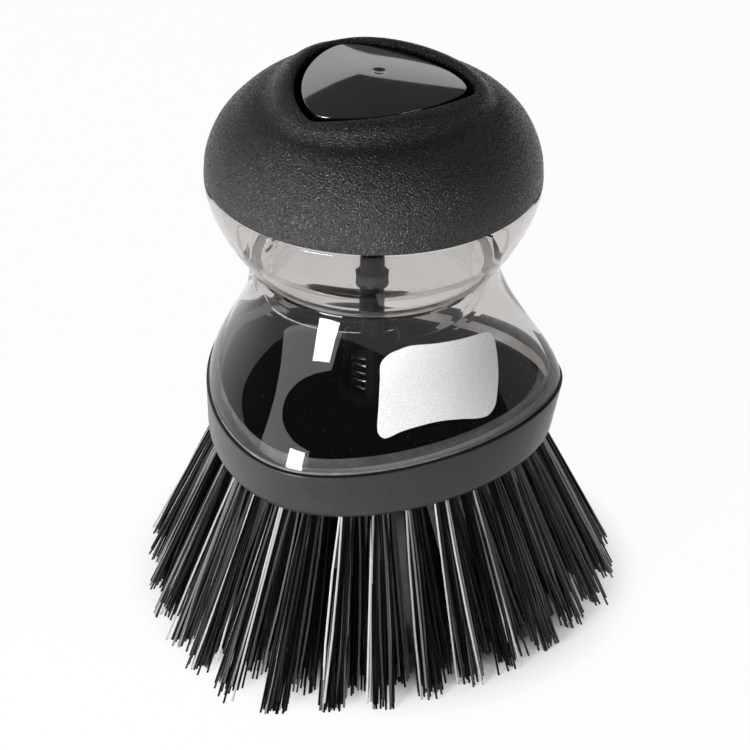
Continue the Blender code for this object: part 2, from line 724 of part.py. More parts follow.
def make_plunger(look, carrier):
    """Poppet disc and stem of the outlet valve."""
    section = [
        (POPPET_R - POPPET_T / 2, POPPET_Z),
        (POPPET_R, POPPET_Z + POPPET_T / 2),
        (POPPET_R, POPPET_Z + POPPET_T),
        (STEM_R, POPPET_Z + POPPET_T),
        (STEM_R, STEM_TOP_Z),
    ]
    mesh = turned("valve_plunger", section, SMALL_SEGMENTS, hollow=False)
    return add_piece("valve_plunger", mesh, look, carrier)


def even_angles(mean, push, middle_angle, count):
    """Normal angles of points spaced evenly round one corner of the outline."""
    fine = count * PLACE_STEPS
    angles = [middle_angle + FULL_TURN / CORNERS * (step / fine - 0.5)
              for step in range(fine + 1)]
    points = [outline_point(mean, push, angle) for angle in angles]
    reached = [0.0]
    for before, after in zip(points, points[1:]):
        reached.append(reached[-1] + (after - before).length)
    places = []
    for index in range(count):
        wanted = reached[-1] * (index + 0.5) / count
        step = next(i for i, length in enumerate(reached) if length >= wanted)
        places.append(angles[step])
    return places


def tuft_offsets(strands):
    """One strand in the middle of the tuft and the rest round it."""
    reach = TUFT_R * TUFT_RING_SHARE
    offsets = [(0.0, 0.0)]
    for index in range(strands - 1):
        angle = FULL_TURN * index / (strands - 1)
        offsets.append((reach * math.cos(angle), reach * math.sin(angle)))
    return offsets


def strand(bm, root, tip):
    """A four-sided strand, cut level at its tip."""
    half = STRAND_WIDTH / 2
    corners = ((-half, -half), (half, -half), (half, half), (-half, half))
    high = [bm.verts.new((root.x + x, root.y + y, root.z)) for x, y in corners]
    low = [bm.verts.new((tip.x + x, tip.y + y, tip.z)) for x, y in corners]
    bm.faces.new(high)
    bm.faces.new(list(reversed(low)))
    for side in range(len(corners)):
        after = (side + 1) % len(corners)
        bm.faces.new((low[side], low[after], high[after], high[side]))


def make_tufts(row, third, look, carrier):
    """A third of one row of tufts, fused to the band of plate that holds it.

    The middle row's thirds lie between the foot's corners, the others' round them.
    """
    middle_angle = FULL_TURN * (third + (row % 2) / 2) / CORNERS
    edge_r = PLATE_R - row * ROW_STEP
    band_in = edge_r - ROW_STEP + SEAT_GAP
    root_r = edge_r - PLATE_EDGE - TUFT_R
    tip_r = root_r + TIP_FLARE - row * TIP_FLARE_STEP
    fade = 1 - row / len(ROW_NAMES)
    push = RING_LOW_PUSH * fade
    inner_push = RING_LOW_PUSH * (1 - (row + 1) / len(ROW_NAMES))
    tip_push = FOOT_PUSH * fade
    band = [
        (band_in, inner_push, PLATE_TOP_Z), (edge_r, push, PLATE_TOP_Z),
        (edge_r, push, PLATE_LOW_Z), (band_in, inner_push, PLATE_LOW_Z),
    ]
    name = f"bristles_{ROW_NAMES[row]}_{third + 1}"
    piece = add_piece(name, band_mesh(name, band, middle_angle), look, carrier)
    bm = bmesh.new()
    for place, angle in enumerate(even_angles(root_r, push, middle_angle, TUFT_COUNTS[row])):
        root = outline_point(root_r, push, angle)
        tip = outline_point(tip_r, tip_push, angle)
        out = Vector((math.cos(angle), math.sin(angle), 0.0))
        side = Vector((-out.y, out.x, 0.0))
        for number, (across, along) in enumerate(tuft_offsets(STRAND_COUNTS[row])):
            shift = out * across + side * along
            share = UNEVEN_SHARES[(place + 2 * number) % len(UNEVEN_SHARES)]
            lift = TIP_UNEVEN * share
            strand(
                bm,
                root + shift + Vector((0.0, 0.0, PLATE_LOW_Z + PLATE_T / 2)),
                tip + shift * TUFT_SPLAY_SHARE + Vector((0.0, 0.0, lift)),
            )
    strands_name = name + "_strands"
    add_tool(strands_name, finish_mesh(strands_name, bm), piece, "UNION")
    return piece


def build():
    clear_scene()
    matt_black = material("matt_black", (0.03, 0.03, 0.032), 0.55)
    gloss_black = material("gloss_black", (0.02, 0.02, 0.021), 0.12)
    satin_grey = material("satin_grey", (0.06, 0.06, 0.062), 0.4)
    clear_smoke = material("clear_smoke", (0.52, 0.49, 0.47, 0.35), 0.06)
    rubber = material("rubber", (0.035, 0.035, 0.035), 0.7)
    steel = material("spring_steel", (0.6, 0.6, 0.62), 0.3, 1.0)
    bristle = material("bristle_black", (0.02, 0.02, 0.02), 0.35)

    brush_axis = axis_point("brush_axis", 0.0)
    rise_axis = axis_point("cap_rise_axis", NECK_Z, brush_axis)
    cap_axis = axis_point("cap_turn_axis", NECK_Z, rise_axis, CAP_REST_TURN)
    button_axis = axis_point("button_axis", BUTTON_EDGE_Z, cap_axis)
    valve_axis = axis_point("valve_axis", DECK_LOW_Z, brush_axis)

    make_head(satin_grey, brush_axis)
    for row in range(len(ROW_NAMES)):
        for third in range(CORNERS):
            make_tufts(row, third, bristle, brush_axis)
    flat_ring("base_gasket", SKIRT_R - TANK_WALL, SKIRT_R, GASKET_GROOVE_Z + SEAT_GAP,
              BASE_GASKET_T, FOOT_PUSH, rubber, brush_axis)
    make_tank(clear_smoke, brush_axis)
    make_cage(matt_black, brush_axis)
    coil("valve_spring", VALVE_COIL_R, VALVE_WIRE_R, VALVE_CURLS, VALVE_SPRING_Z,
         VALVE_SPRING_Z + VALVE_SPRING_LENGTH, steel, brush_axis)

    make_plunger(matt_black, valve_axis)
    flat_ring("valve_washer", STEM_R + SEAT_GAP, POPPET_R - WASHER_INSET, WASHER_Z, WASHER_T, 0.0,
              rubber, valve_axis, SMALL_SEGMENTS)
    flat_ring("spring_retainer", STEM_R + SEAT_GAP, RETAINER_R, RETAINER_Z, RETAINER_T, 0.0,
              matt_black, valve_axis, SMALL_SEGMENTS)

    flat_ring("neck_gasket", PLUG_R + SEAT_GAP, PLUG_R + SEAT_GAP + GASKET_WIDTH, GASKET_Z,
              GASKET_T, 0.0, rubber, rise_axis)

    make_bowl(clear_smoke, cap_axis)
    make_wiper(rubber, cap_axis)
    coil("return_spring", RETURN_COIL_R, RETURN_WIRE_R, RETURN_CURLS,
         BOWL_INSIDE_Z + SEAT_GAP, BOSS_LOW_Z - SEAT_GAP, steel, cap_axis)
    make_dome(matt_black, cap_axis)

    make_button(gloss_black, button_axis)
    make_rod(matt_black, button_axis)


build()
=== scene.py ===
"""The looks of a palm brush with a soap tank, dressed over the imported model.

Metres, +Z up. The bristle tips stand on z = 0 and the pump axis is upright.
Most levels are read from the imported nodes; the other sizes are the real object's.
"""
import math
import random

import bmesh
import bpy
from mathutils import Matrix, Vector


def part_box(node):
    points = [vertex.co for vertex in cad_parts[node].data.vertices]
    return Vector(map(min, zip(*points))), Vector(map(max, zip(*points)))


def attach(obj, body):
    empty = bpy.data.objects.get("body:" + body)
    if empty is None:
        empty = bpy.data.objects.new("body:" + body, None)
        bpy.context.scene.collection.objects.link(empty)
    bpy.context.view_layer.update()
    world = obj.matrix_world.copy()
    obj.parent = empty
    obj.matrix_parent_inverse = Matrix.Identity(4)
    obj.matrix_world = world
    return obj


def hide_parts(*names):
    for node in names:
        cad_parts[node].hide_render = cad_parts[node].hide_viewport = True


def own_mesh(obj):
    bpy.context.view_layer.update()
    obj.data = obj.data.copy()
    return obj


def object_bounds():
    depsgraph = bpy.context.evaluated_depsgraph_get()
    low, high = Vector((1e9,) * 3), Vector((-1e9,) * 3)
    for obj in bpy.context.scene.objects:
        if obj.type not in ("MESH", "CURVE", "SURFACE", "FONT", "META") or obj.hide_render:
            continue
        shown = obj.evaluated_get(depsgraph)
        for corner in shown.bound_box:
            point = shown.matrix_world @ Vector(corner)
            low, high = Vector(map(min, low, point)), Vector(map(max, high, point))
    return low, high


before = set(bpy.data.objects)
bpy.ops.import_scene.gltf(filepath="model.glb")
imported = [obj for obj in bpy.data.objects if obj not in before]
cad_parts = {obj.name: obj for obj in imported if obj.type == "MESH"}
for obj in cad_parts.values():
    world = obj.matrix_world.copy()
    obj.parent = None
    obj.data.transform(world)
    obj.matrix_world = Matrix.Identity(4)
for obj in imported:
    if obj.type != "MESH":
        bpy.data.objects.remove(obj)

CAD_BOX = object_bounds()
MM = 0.001
FULL_TURN = 2 * math.pi

# Facets
SEGMENTS = 192
SMALL_SEGMENTS = 72
ROUND_STEPS = 5
CURVE_STEPS = 8
TANK_RINGS = 60
BOWL_RINGS = 40
BOWL_INSIDE_RINGS = 30
SHARP_ANGLE = math.radians(38)


def low_z(node):
    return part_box(node)[0].z


def high_z(node):
    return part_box(node)[1].z


# Clearance, and the roundings that several pieces share
SEAT_GAP = 0.3 * MM
FINE_ROUND = 0.15 * MM
SMALL_ROUND = 0.2 * MM
EDGE_ROUND = 0.3 * MM

# The pump axis, and the levels of the main edges
AXIS_X = (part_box("push_rod")[0].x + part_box("push_rod")[1].x) / 2
RING_LOW_Z = low_z("brush_head")
RING_TOP_Z = high_z("brush_head")
NECK_Z = high_z("tank") + SEAT_GAP
BOWL_HEIGHT = 17.6 * MM
SEAM_Z = NECK_Z + BOWL_HEIGHT
DOME_HEIGHT = 19.15 * MM
LIP_Z = SEAM_Z + DOME_HEIGHT
BUTTON_LOW_Z = low_z("push_button")
PLUG_LOW_Z = 66.08 * MM
GUIDE_LOW_Z = high_z("rod_wiper") + SEAT_GAP

# Outlines: mean radii, how far their corners stand past the mean, and the powers of their curves
CORNERS = 3
RING_TOP_R = 35.3 * MM
RING_LOW_R = 34.1 * MM
FOOT_R = 34.8 * MM
NECK_R = 24.0 * MM
SEAM_R = 32.2 * MM
FOOT_PUSH = 2.8 * MM
RING_LOW_PUSH = 1.9 * MM
BUTTON_PUSH_SHARE = 0.12
OPENING_PUSH_SHARE = 0.11
CORNER_ROUND_SHARE = 0.03
CAP_REST_TURN = math.radians(-11.3)
BELL_CURVE_SHARE = 0.77
BELL_PUSH_SHARE = 0.49
BOWL_CURVE_SHARE = 1.7

# Button
BUTTON_R = 15.4 * MM
BUTTON_GAP = 1.4 * MM
OPENING_R = BUTTON_R + BUTTON_GAP
BUTTON_EDGE_DROP = 0.35 * MM
BUTTON_EDGE_Z = LIP_Z - BUTTON_EDGE_DROP
BUTTON_CROWN = 1.5 * MM
BUTTON_WALL = 1.5 * MM
BUTTON_FLANGE = 2.6 * MM
BUTTON_FLANGE_T = 1.2 * MM
BUTTON_EDGE_ROUND = 0.35 * MM
CROWN_CURVE_SHARE = 1.5
CROWN_SPAN_SHARES = (0.01, 0.985)
CROWN_RINGS = 48
PEAK_OFFSET = Vector((-2.6, 1.0, 0.0)) * MM
DIMPLE_R = 1.9 * MM
DIMPLE_DEPTH = 0.24 * MM
DIMPLE_OFFSET = Vector((0.9, 1.9, 0.0)) * MM

# Dome, its profile as shares of its width and height from the seam to the lip
LIP_ROUND = 0.6 * MM
LIP_STEP = 0.55 * MM
LIP_WAVE = 0.7 * MM
COLLAR_LOW_Z = BUTTON_LOW_Z + BUTTON_FLANGE_T + SEAT_GAP
DOME_WALL = 2.0 * MM
DOME_COLLAR = 1.5 * MM
DOME_RIM_ROUND = 0.25 * MM
DOME_INSIDE_STRIDE = 4
DOME_PROFILE_SHARES = (
    (1.0, 0.0), (0.975, 0.205), (0.885, 0.41), (0.76, 0.568), (0.58, 0.716), (0.435, 0.796),
    (0.3, 0.847), (0.22, 0.9), (0.16, 0.95), (0.09, 0.985), (0.035, 1.0),
)

# Bowl, its plug in the tank's neck and its guide round the rod
BOWL_WALL = 1.8 * MM
BOWL_FLOOR = 2.5 * MM
BOWL_FLOOR_RISE = 2.9 * MM
BOWL_RIM_ROUND = 0.45 * MM
BOWL_CORNER_ROUND = 1.2 * MM
TONGUE_HEIGHT = 2.0 * MM
TONGUE_T = 0.8 * MM
NECK_ROUND = 0.4 * MM
PLUG_R = 20.65 * MM
PLUG_WALL = 1.8 * MM
PLUG_ROUND = 0.4 * MM
PLUG_CORNER_ROUND = 0.8 * MM
GUIDE_R = 3.65 * MM
GUIDE_BORE_R = 2.65 * MM
GUIDE_STUB = 1.5 * MM
GUIDE_CHAMFER = 0.5 * MM
GUIDE_ROUND = 0.6 * MM

# Tank, with the heights of its painted light band above the foot, inside and outside
TANK_WALL = 2.2 * MM
SKIRT_STEP = 0.8 * MM
SKIRT_R = FOOT_R - SKIRT_STEP
# The band is painted light: inside it stands in for light seen through the wall's thickness, outside it
# is a thin painted highlight line
PAINTED_BAND_INSIDE_HEIGHT = 2.0 * MM
PAINTED_BAND_OUTSIDE_HEIGHT = 0.66 * MM
NECK_BORE_R = NECK_R - TANK_WALL
GASKET_T = 0.9 * MM
GASKET_WIDTH = 1.7 * MM

# Order of the clear shells' looks, and how far out a face of their skin looks
SKIN, INSIDE, PAINTED_SKIRT, PAINTED_BAND = range(4)
SKIN_LEAST_SHARE = 0.2

# Thread, on the bowl's plug and in the tank's neck
THREAD_STARTS = 3
THREAD_LEAD = 10.8 * MM
THREAD_HEIGHT = 0.85 * MM
THREAD_CREST = 0.7 * MM
THREAD_ROOT = 1.2 * MM
THREAD_SWEEP = math.radians(84)
THREAD_FADE = math.radians(7)
THREAD_RING_STEP = 0.15 * MM
TANK_THREAD_Z = 69.74 * MM
BOWL_THREAD_Z = 68.24 * MM

# Rod and its wiper
ROD_R = 2.35 * MM
ROD_COLLAR_R = 2.7 * MM
ROD_COLLAR_LENGTH = 2.8 * MM
ROD_COLLAR_PLACE_SHARE = 0.45
ROD_POINT = 0.5 * MM
WIPER_CHAMFER = 0.3 * MM
WIPER_LIP = 0.4 * MM
WIPER_WAIST = 0.15 * MM

# Springs
WIRE_R = 0.45 * MM
WIRE_SIDES = 12
CURL_POINTS = 40
TOP_CURLS = 8
LOW_CURLS = 5
END_CURL_GAP = 0.5 * MM

# Foot
DECK_DROP = 3.0 * MM
DECK_Z = RING_TOP_Z - DECK_DROP
DECK_T = 3.5 * MM
DECK_LOW_Z = DECK_Z - DECK_T
DECK_LEAST_SHARE = 0.5
GROOVE_DEPTH = 0.6 * MM
GROOVE_Z = DECK_Z - GROOVE_DEPTH
RING_ROUND = 1.9 * MM
RING_EDGE_ROUND = 0.35 * MM
POCKET_R = 32.0 * MM
POCKET_ROUND = 0.5 * MM
OUTLET_R = 2.6 * MM
CAGE_RECESS = 0.9 * MM
CAGE_FLANGE_R = 6.6 * MM

# Bristles and their backing
ROW_NAMES = ("outer", "middle", "inner")
TUFT_COUNTS = (10, 9, 6)
FILAMENTS = 40
FILAMENT_R = 0.22 * MM
FILAMENT_SIDES = 6
FILAMENT_STEPS = 3
FILAMENT_BEND = 0.6 * MM
BEND_IN_SHARE = 0.5
TUFT_R = 1.5 * MM
TUFT_SPLAY_SHARE = 2.0
SIDE_SPLAY_SHARES = (1.1, 1.5, 1.9)
TUFT_LEAN = 0.9 * MM
WORN_ANGLE = math.radians(-112)
WORN_POWER = 6
WORN_REACH = 3.0 * MM
TIP_FLARE = 16.3 * MM
TIP_FLARE_STEP = 1.0 * MM
TIP_SCATTER = 0.6 * MM
STRAY_SHARE = 0.05
STRAY_SCATTER = 3.2 * MM
CUT_SHARE = 0.075
ROOT_DEPTH = 1.0 * MM
BACKING_R = 31.7 * MM
BACKING_BORE_R = 15.1 * MM
BACKING_T = 3.0 * MM
BACKING_EDGE = 0.7 * MM
PLACE_STEPS = 40
ROW_STEP = (BACKING_R - BACKING_BORE_R) / len(ROW_NAMES)
# Per-strand number that sets its depth of black and, in a few strands, a painted highlight
STRAND_SHEEN_LAYER = "strand_tone_and_sheen"
SEED = 7

# Bare plate on the tank's front, with its outline as shares, clockwise from the upper left corner
SIGN_LEFT = math.radians(-83)
SIGN_RIGHT = math.radians(-40.5)
SIGN_LOW_Z = 50.5 * MM
SIGN_TOP_Z = 67.0 * MM
SIGN_OUTLINE_SHARES = (
    (0.0, 0.84), (0.05, 0.935), (0.13, 0.975), (0.25, 1.0), (0.47, 0.952), (0.66, 0.905), (0.86, 0.855),
    (0.965, 0.82), (1.0, 0.75), (0.985, 0.65), (0.9, 0.42), (0.8, 0.17), (0.755, 0.06), (0.7, 0.0),
    (0.64, 0.01), (0.55, 0.07), (0.44, 0.12), (0.33, 0.13), (0.22, 0.115), (0.15, 0.08),
    (0.115, 0.075), (0.08, 0.12), (0.065, 0.2), (0.055, 0.42), (0.03, 0.66),
)
SIGN_MIDDLE_SHARES = (0.5, 0.5)
SIGN_T = 0.12 * MM
SIGN_SEAT = 0.03 * MM
SIGN_RINGS = 14

# The stretch of a noise's values that its looks are spread over
NOISE_LOW_SHARE = 0.3
NOISE_HIGH_SHARE = 0.7

# Floor: shaded under the brush, white further out
FLOOR_SIZE = 6.0
FLOOR_DROP = 0.05 * MM
SHADE_R = 34 * MM
WHITE_R = 54 * MM
WHITE_SHARE = 0.96

# Lights: name, azimuth in degrees, lower and upper edge, width, distance and level
WORLD_LEVEL = 0.1
LAMPS = (
    ("strip_left", -129, 0.0, 0.17, 0.12, 0.36, 30.0),
    ("card_left", -146, 0.0, 0.36, 0.84, 0.7, 2.8),
    ("strip_right", -42, 0.28, 0.5, 0.16, 0.6, 6.0),
    ("card_right", 5, 0.0, 0.3, 0.4, 0.8, 0.35),
)
# Cards behind the object, which clear parts don't show
BACKDROPS = (
    ("backdrop_left", 118, 0.28, 0.56, 0.5, 0.8, 0.85),
    ("backdrop_middle", 83, 0.28, 0.56, 0.5, 0.8, 0.6),
    ("backdrop_right", 48, 0.28, 0.56, 0.5, 0.8, 0.4),
)
# Watts for each square metre of an area light that make its face shine at level 1
LAMP_WATTS = 4

# Camera, fitted to the photograph
CAMERA_AIM = Vector((-2.0, -0.1, 45.9)) * MM
CAMERA_AZIMUTH = math.radians(-94.7)
CAMERA_ELEVATION = math.radians(32.03)
CAMERA_ROLL = math.radians(0.81)
CAMERA_DISTANCE = 600 * MM
CAMERA_LENS = 146.1
CAMERA_NEAR = 0.01
CAMERA_FAR = 20
SENSOR_WIDTH = 36.0


def clamp(value):
    """Hold a value between 0 and 1."""
    return min(max(value, 0.0), 1.0)


def spread(low, high, count):
    return [low + (high - low) * step / (count - 1) for step in range(count)]


def turn_angles(count):
    return [FULL_TURN * step / count for step in range(count)]


def outline_point(mean, push, angle):
    """A point of a rounded triangle whose outward normal lies at the angle."""
    wave = CORNERS * angle
    rounding = push * CORNER_ROUND_SHARE
    reach = mean + push * math.cos(wave) - rounding * math.cos(2 * wave)
    slope = CORNERS * (2 * rounding * math.sin(2 * wave) - push * math.sin(wave))
    along_x = reach * math.cos(angle) - slope * math.sin(angle)
    along_y = reach * math.sin(angle) + slope * math.cos(angle)
    return Vector((along_x, along_y, 0.0))


def rounded(layers):
    """Layers of (mean, push, height); a fourth number rounds that corner of the section."""
    made = []
    for index, layer in enumerate(layers):
        here = Vector(layer[:3])
        if len(layer) < 4:
            made.append(here)
            continue
        before = Vector(layers[index - 1][:3]) - here
        after = Vector(layers[(index + 1) % len(layers)][:3]) - here
        start = here + before.normalized() * min(layer[3], before.length / 2)
        end = here + after.normalized() * min(layer[3], after.length / 2)
        for step in range(ROUND_STEPS + 1):
            share = step / ROUND_STEPS
            made.append(start.lerp(here, share).lerp(here.lerp(end, share), share))
    return made


def circles(section):
    """A section of (radius, height) with optional rounding, as layers with no corners."""
    return [(point[0], 0.0, *point[1:]) for point in section]


def smooth_run(points, steps=CURVE_STEPS):
    """A smooth curve through a run of points."""
    ends = [2 * points[0] - points[1], *points, 2 * points[-1] - points[-2]]
    made = []
    for before, start, end, after in zip(ends, ends[1:], ends[2:], ends[3:]):
        for step in range(steps):
            t = step / steps
            made.append(0.5 * (
                2 * start + (end - before) * t
                + (2 * before - 5 * start + 4 * end - after) * t ** 2
                + (3 * start - before - 3 * end + after) * t ** 3
            ))
    made.append(points[-1])
    return made


def bridge(bm, low, high):
    """Faces between two rings of vertices."""
    faces = []
    for side in range(len(low)):
        after = (side + 1) % len(low)
        faces.append(bm.faces.new((low[side], low[after], high[after], high[side])))
    return faces


def finish_mesh(name, bm):
    """Turn the faces out, and make them a mesh."""
    bmesh.ops.recalc_face_normals(bm, faces=bm.faces)
    mesh = bpy.data.meshes.new(name)
    bm.to_mesh(mesh)
    bm.free()
    return mesh


def loft(name, layers, count=SEGMENTS, hollow=True, turn=0.0, change=None):
    """Skin rounded-triangle rings about the pump axis.

    A hollow loft closes its last ring on its first, and a solid one has a face at each
    end. A point is moved in place by change(point, layer number, angle).
    """
    bm = bmesh.new()
    rings = []
    spin = Matrix.Rotation(turn, 3, "Z")
    for number, (mean, push, height) in enumerate(layers):
        verts = []
        for angle in turn_angles(count):
            point = outline_point(mean, push, angle)
            point.z = height
            if change:
                change(point, number, angle)
            point.rotate(spin)
            verts.append(bm.verts.new((point.x + AXIS_X, point.y, point.z)))
        rings.append(verts)
    pairs = list(zip(rings, rings[1:]))
    if hollow:
        pairs.append((rings[-1], rings[0]))
    else:
        bm.faces.new(rings[0])
        bm.faces.new(rings[-1])
    for low, high in pairs:
        bridge(bm, low, high)
    return finish_mesh(name, bm)


def tube_mesh(name, path, radius, sides):
    """A round wire along a path, closed at both ends."""
    bm = bmesh.new()
    rings = []
    for index, place in enumerate(path):
        run = path[min(index + 1, len(path) - 1)] - path[max(index - 1, 0)]
        run.normalize()
        across = run.cross(Vector((0.0, 0.0, 1.0))).normalized()
        upright = across.cross(run)
        rings.append([
            bm.verts.new(place + radius * (across * math.cos(angle) + upright * math.sin(angle)))
            for angle in turn_angles(sides)
        ])
    for low, high in zip(rings, rings[1:]):
        bridge(bm, low, high)
    bm.faces.new(rings[0])
    bm.faces.new(rings[-1])
    return finish_mesh(name, bm)


def add_piece(name, mesh, look, body, node=None):
    """Link a mesh, ride it on its body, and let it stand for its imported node."""
    mesh.shade_smooth()
    mesh.set_sharp_from_angle(angle=SHARP_ANGLE)
    mesh.materials.append(look)
    piece = bpy.data.objects.new(name, mesh)
    bpy.context.collection.objects.link(piece)
    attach(piece, body)
    if node:
        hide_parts(node)
    return piece


def is_skin(face):
    """Whether a face of a shell looks away from the pump axis."""
    out = Vector((face.center.x - AXIS_X, face.center.y))
    return face.normal.xy.dot(out.normalized()) > SKIN_LEAST_SHARE


def bell_layer(height, inset, lowest=0.0):
    """The tank's S-shaped wall: a round neck that widens to a rounded triangle."""
    rise = clamp((height - RING_TOP_Z) / (NECK_Z - RING_TOP_Z))
    share = 0.5 * (1 + math.cos(math.pi * rise ** BELL_CURVE_SHARE))
    mean = NECK_R + (FOOT_R - NECK_R) * share - inset
    return Vector((max(mean, lowest), FOOT_PUSH * share ** BELL_PUSH_SHARE, height))


def bell_place(angle, height, proud):
    """A point on the tank's outside, or a little proud of it."""
    mean, push, _ = bell_layer(height, -proud)
    point = outline_point(mean, push, angle)
    return Vector((point.x + AXIS_X, point.y, height))


def bowl_radius(height):
    """The bowl's outer radius, from the neck up to the seam."""
    rise = clamp((height - NECK_Z) / (SEAM_Z - NECK_Z))
    return SEAM_R - (SEAM_R - NECK_R) * (1 - rise) ** BOWL_CURVE_SHARE


def thread_share(angle, height, middle_z, first_angle):
    """1 on a thread's crest and 0 off it, for a three-start right-hand thread."""
    start_step = FULL_TURN / THREAD_STARTS
    swept = (angle - first_angle + start_step / 2) % start_step - start_step / 2
    away = abs(height - middle_z - THREAD_LEAD * swept / FULL_TURN)
    flank = (THREAD_ROOT / 2 - away) / (THREAD_ROOT - THREAD_CREST) * 2
    run_out = (THREAD_SWEEP / 2 - abs(swept)) / THREAD_FADE
    return clamp(flank) * clamp(run_out)


def thread_change(first, last, height, middle_z, first_angle):
    """Moves the points of the rings between first and last out to the thread's ridges."""
    def change(point, number, angle):
        if first < number < last - 1:
            share = thread_share(angle, point.z, middle_z, first_angle)
            radius = point.xy.length
            point.x *= 1 + height * share / radius
            point.y *= 1 + height * share / radius
    return change


def thread_zone(radius, high, low):
    """Close-set rings for a threaded stretch, from high to low."""
    count = max(int(abs(high - low) / THREAD_RING_STEP), 2)
    return [Vector((radius, 0.0, height)) for height in spread(high, low, count)]


def make_tank(look, inside_look, skirt_light_look, band_light_look):
    """Clear bell with its threaded neck, and the skirt that is welded into the foot."""
    shoulder_z = RING_TOP_Z + SEAT_GAP
    gasket_z = NECK_Z - SEAT_GAP - GASKET_T
    seat_z = gasket_z - SEAT_GAP
    seat_r = PLUG_R + SEAT_GAP + GASKET_WIDTH + SEAT_GAP
    top_z = NECK_Z - SEAT_GAP
    heights = spread(shoulder_z, top_z, TANK_RINGS)
    outer = [bell_layer(height, 0.0) for height in heights]
    inner = [bell_layer(height, TANK_WALL, NECK_BORE_R)
             for height in reversed(heights) if height < PLUG_LOW_Z]
    start = [
        *rounded([
            (SKIRT_R - TANK_WALL, FOOT_PUSH, low_z("tank")),
            (SKIRT_R, FOOT_PUSH, low_z("tank"), EDGE_ROUND),
            (SKIRT_R, FOOT_PUSH, shoulder_z),
        ]),
        *outer[:-1],
        *rounded([
            outer[-2],
            (*outer[-1], EDGE_ROUND),
            (seat_r, 0.0, top_z, SMALL_ROUND),
            (seat_r, 0.0, seat_z),
        ])[1:],
    ]
    zone = thread_zone(NECK_BORE_R, seat_z, PLUG_LOW_Z)
    layers = [*start, *zone, *inner, Vector((SKIRT_R - TANK_WALL, FOOT_PUSH, shoulder_z))]
    first = len(start)
    change = thread_change(first, first + len(zone), -THREAD_HEIGHT, TANK_THREAD_Z, 0.0)
    mesh = loft("tank_shell", layers, change=change)
    add_piece("tank_shell", mesh, look, "base", "tank")
    for extra in (inside_look, skirt_light_look, band_light_look):
        mesh.materials.append(extra)
    # Faces low on the skirt take painted light: white below the foot's top, grey just above it inside,
    # and a thin grey line outside as a painted highlight
    for face in mesh.polygons:
        height = face.center.z - RING_TOP_Z
        if is_skin(face):
            face.material_index = PAINTED_BAND if height < PAINTED_BAND_OUTSIDE_HEIGHT else SKIN
        elif height < 0:
            face.material_index = PAINTED_SKIRT
        else:
            face.material_index = PAINTED_BAND if height < PAINTED_BAND_INSIDE_HEIGHT else INSIDE


def make_bowl(look, inside_look):
    """Clear bowl with the tongue for the dome, the threaded plug and the rod's guide."""
    rim_z = SEAM_Z - SEAT_GAP
    floor_z = NECK_Z + BOWL_FLOOR_RISE
    inside_z = floor_z + BOWL_FLOOR
    inner_rim_r = bowl_radius(rim_z) - BOWL_WALL
    outer = [Vector((bowl_radius(height), 0.0, height)) for height in spread(rim_z, NECK_Z, BOWL_RINGS)]
    inner = [Vector((bowl_radius(height) - BOWL_WALL, 0.0, height))
             for height in spread(inside_z, rim_z, BOWL_INSIDE_RINGS)]
    start = [
        *rounded(circles([
            (inner_rim_r, rim_z + TONGUE_HEIGHT, SMALL_ROUND),
            (inner_rim_r + TONGUE_T, rim_z + TONGUE_HEIGHT, SMALL_ROUND),
            (inner_rim_r + TONGUE_T, rim_z),
            (SEAM_R, rim_z, BOWL_RIM_ROUND),
            (outer[3].x, outer[3].z),
        ])),
        *outer[4:-1],
        *rounded(circles([
            (outer[-2].x, outer[-2].z),
            (NECK_R, NECK_Z, NECK_ROUND),
            (PLUG_R, NECK_Z),
        ]))[1:],
    ]
    zone = thread_zone(PLUG_R, NECK_Z, PLUG_LOW_Z)
    rest = [
        *rounded(circles([
            (PLUG_R, PLUG_LOW_Z, PLUG_ROUND),
            (PLUG_R - PLUG_WALL, PLUG_LOW_Z, PLUG_ROUND),
            (PLUG_R - PLUG_WALL, floor_z, PLUG_CORNER_ROUND),
            (GUIDE_R, floor_z, GUIDE_ROUND),
            (GUIDE_R, GUIDE_LOW_Z + GUIDE_CHAMFER),
            (GUIDE_R - GUIDE_CHAMFER, GUIDE_LOW_Z),
            (GUIDE_BORE_R, GUIDE_LOW_Z),
            (GUIDE_BORE_R, inside_z + GUIDE_STUB),
            (GUIDE_R, inside_z + GUIDE_STUB, EDGE_ROUND),
            (GUIDE_R, inside_z, GUIDE_ROUND),
            (inner[0].x, inside_z, BOWL_CORNER_ROUND),
        ])),
        *inner[2:],
    ]
    layers = [*start, *zone, *rest]
    first = len(start)
    change = thread_change(first, first + len(zone), THREAD_HEIGHT, BOWL_THREAD_Z, -CAP_REST_TURN)
    mesh = loft("bowl_shell", layers, turn=CAP_REST_TURN, change=change)
    add_piece("bowl_shell", mesh, look, "cap", "collar_bowl")
    mesh.materials.append(inside_look)
    for face in mesh.polygons:
        outside = is_skin(face) and NECK_Z < face.center.z < rim_z
        far_out = (face.center.xy - Vector((AXIS_X, 0.0))).length > PLUG_R
        face.material_index = SKIN if outside and far_out else INSIDE


def lip_blend(radius):
    """0 at the dome's round rim and 1 at its rounded-triangle opening."""
    return clamp((SEAM_R - radius) / (SEAM_R - OPENING_R)) ** 2


def dome_layer(radius, height):
    return Vector((radius, radius * OPENING_PUSH_SHARE * lip_blend(radius), height))


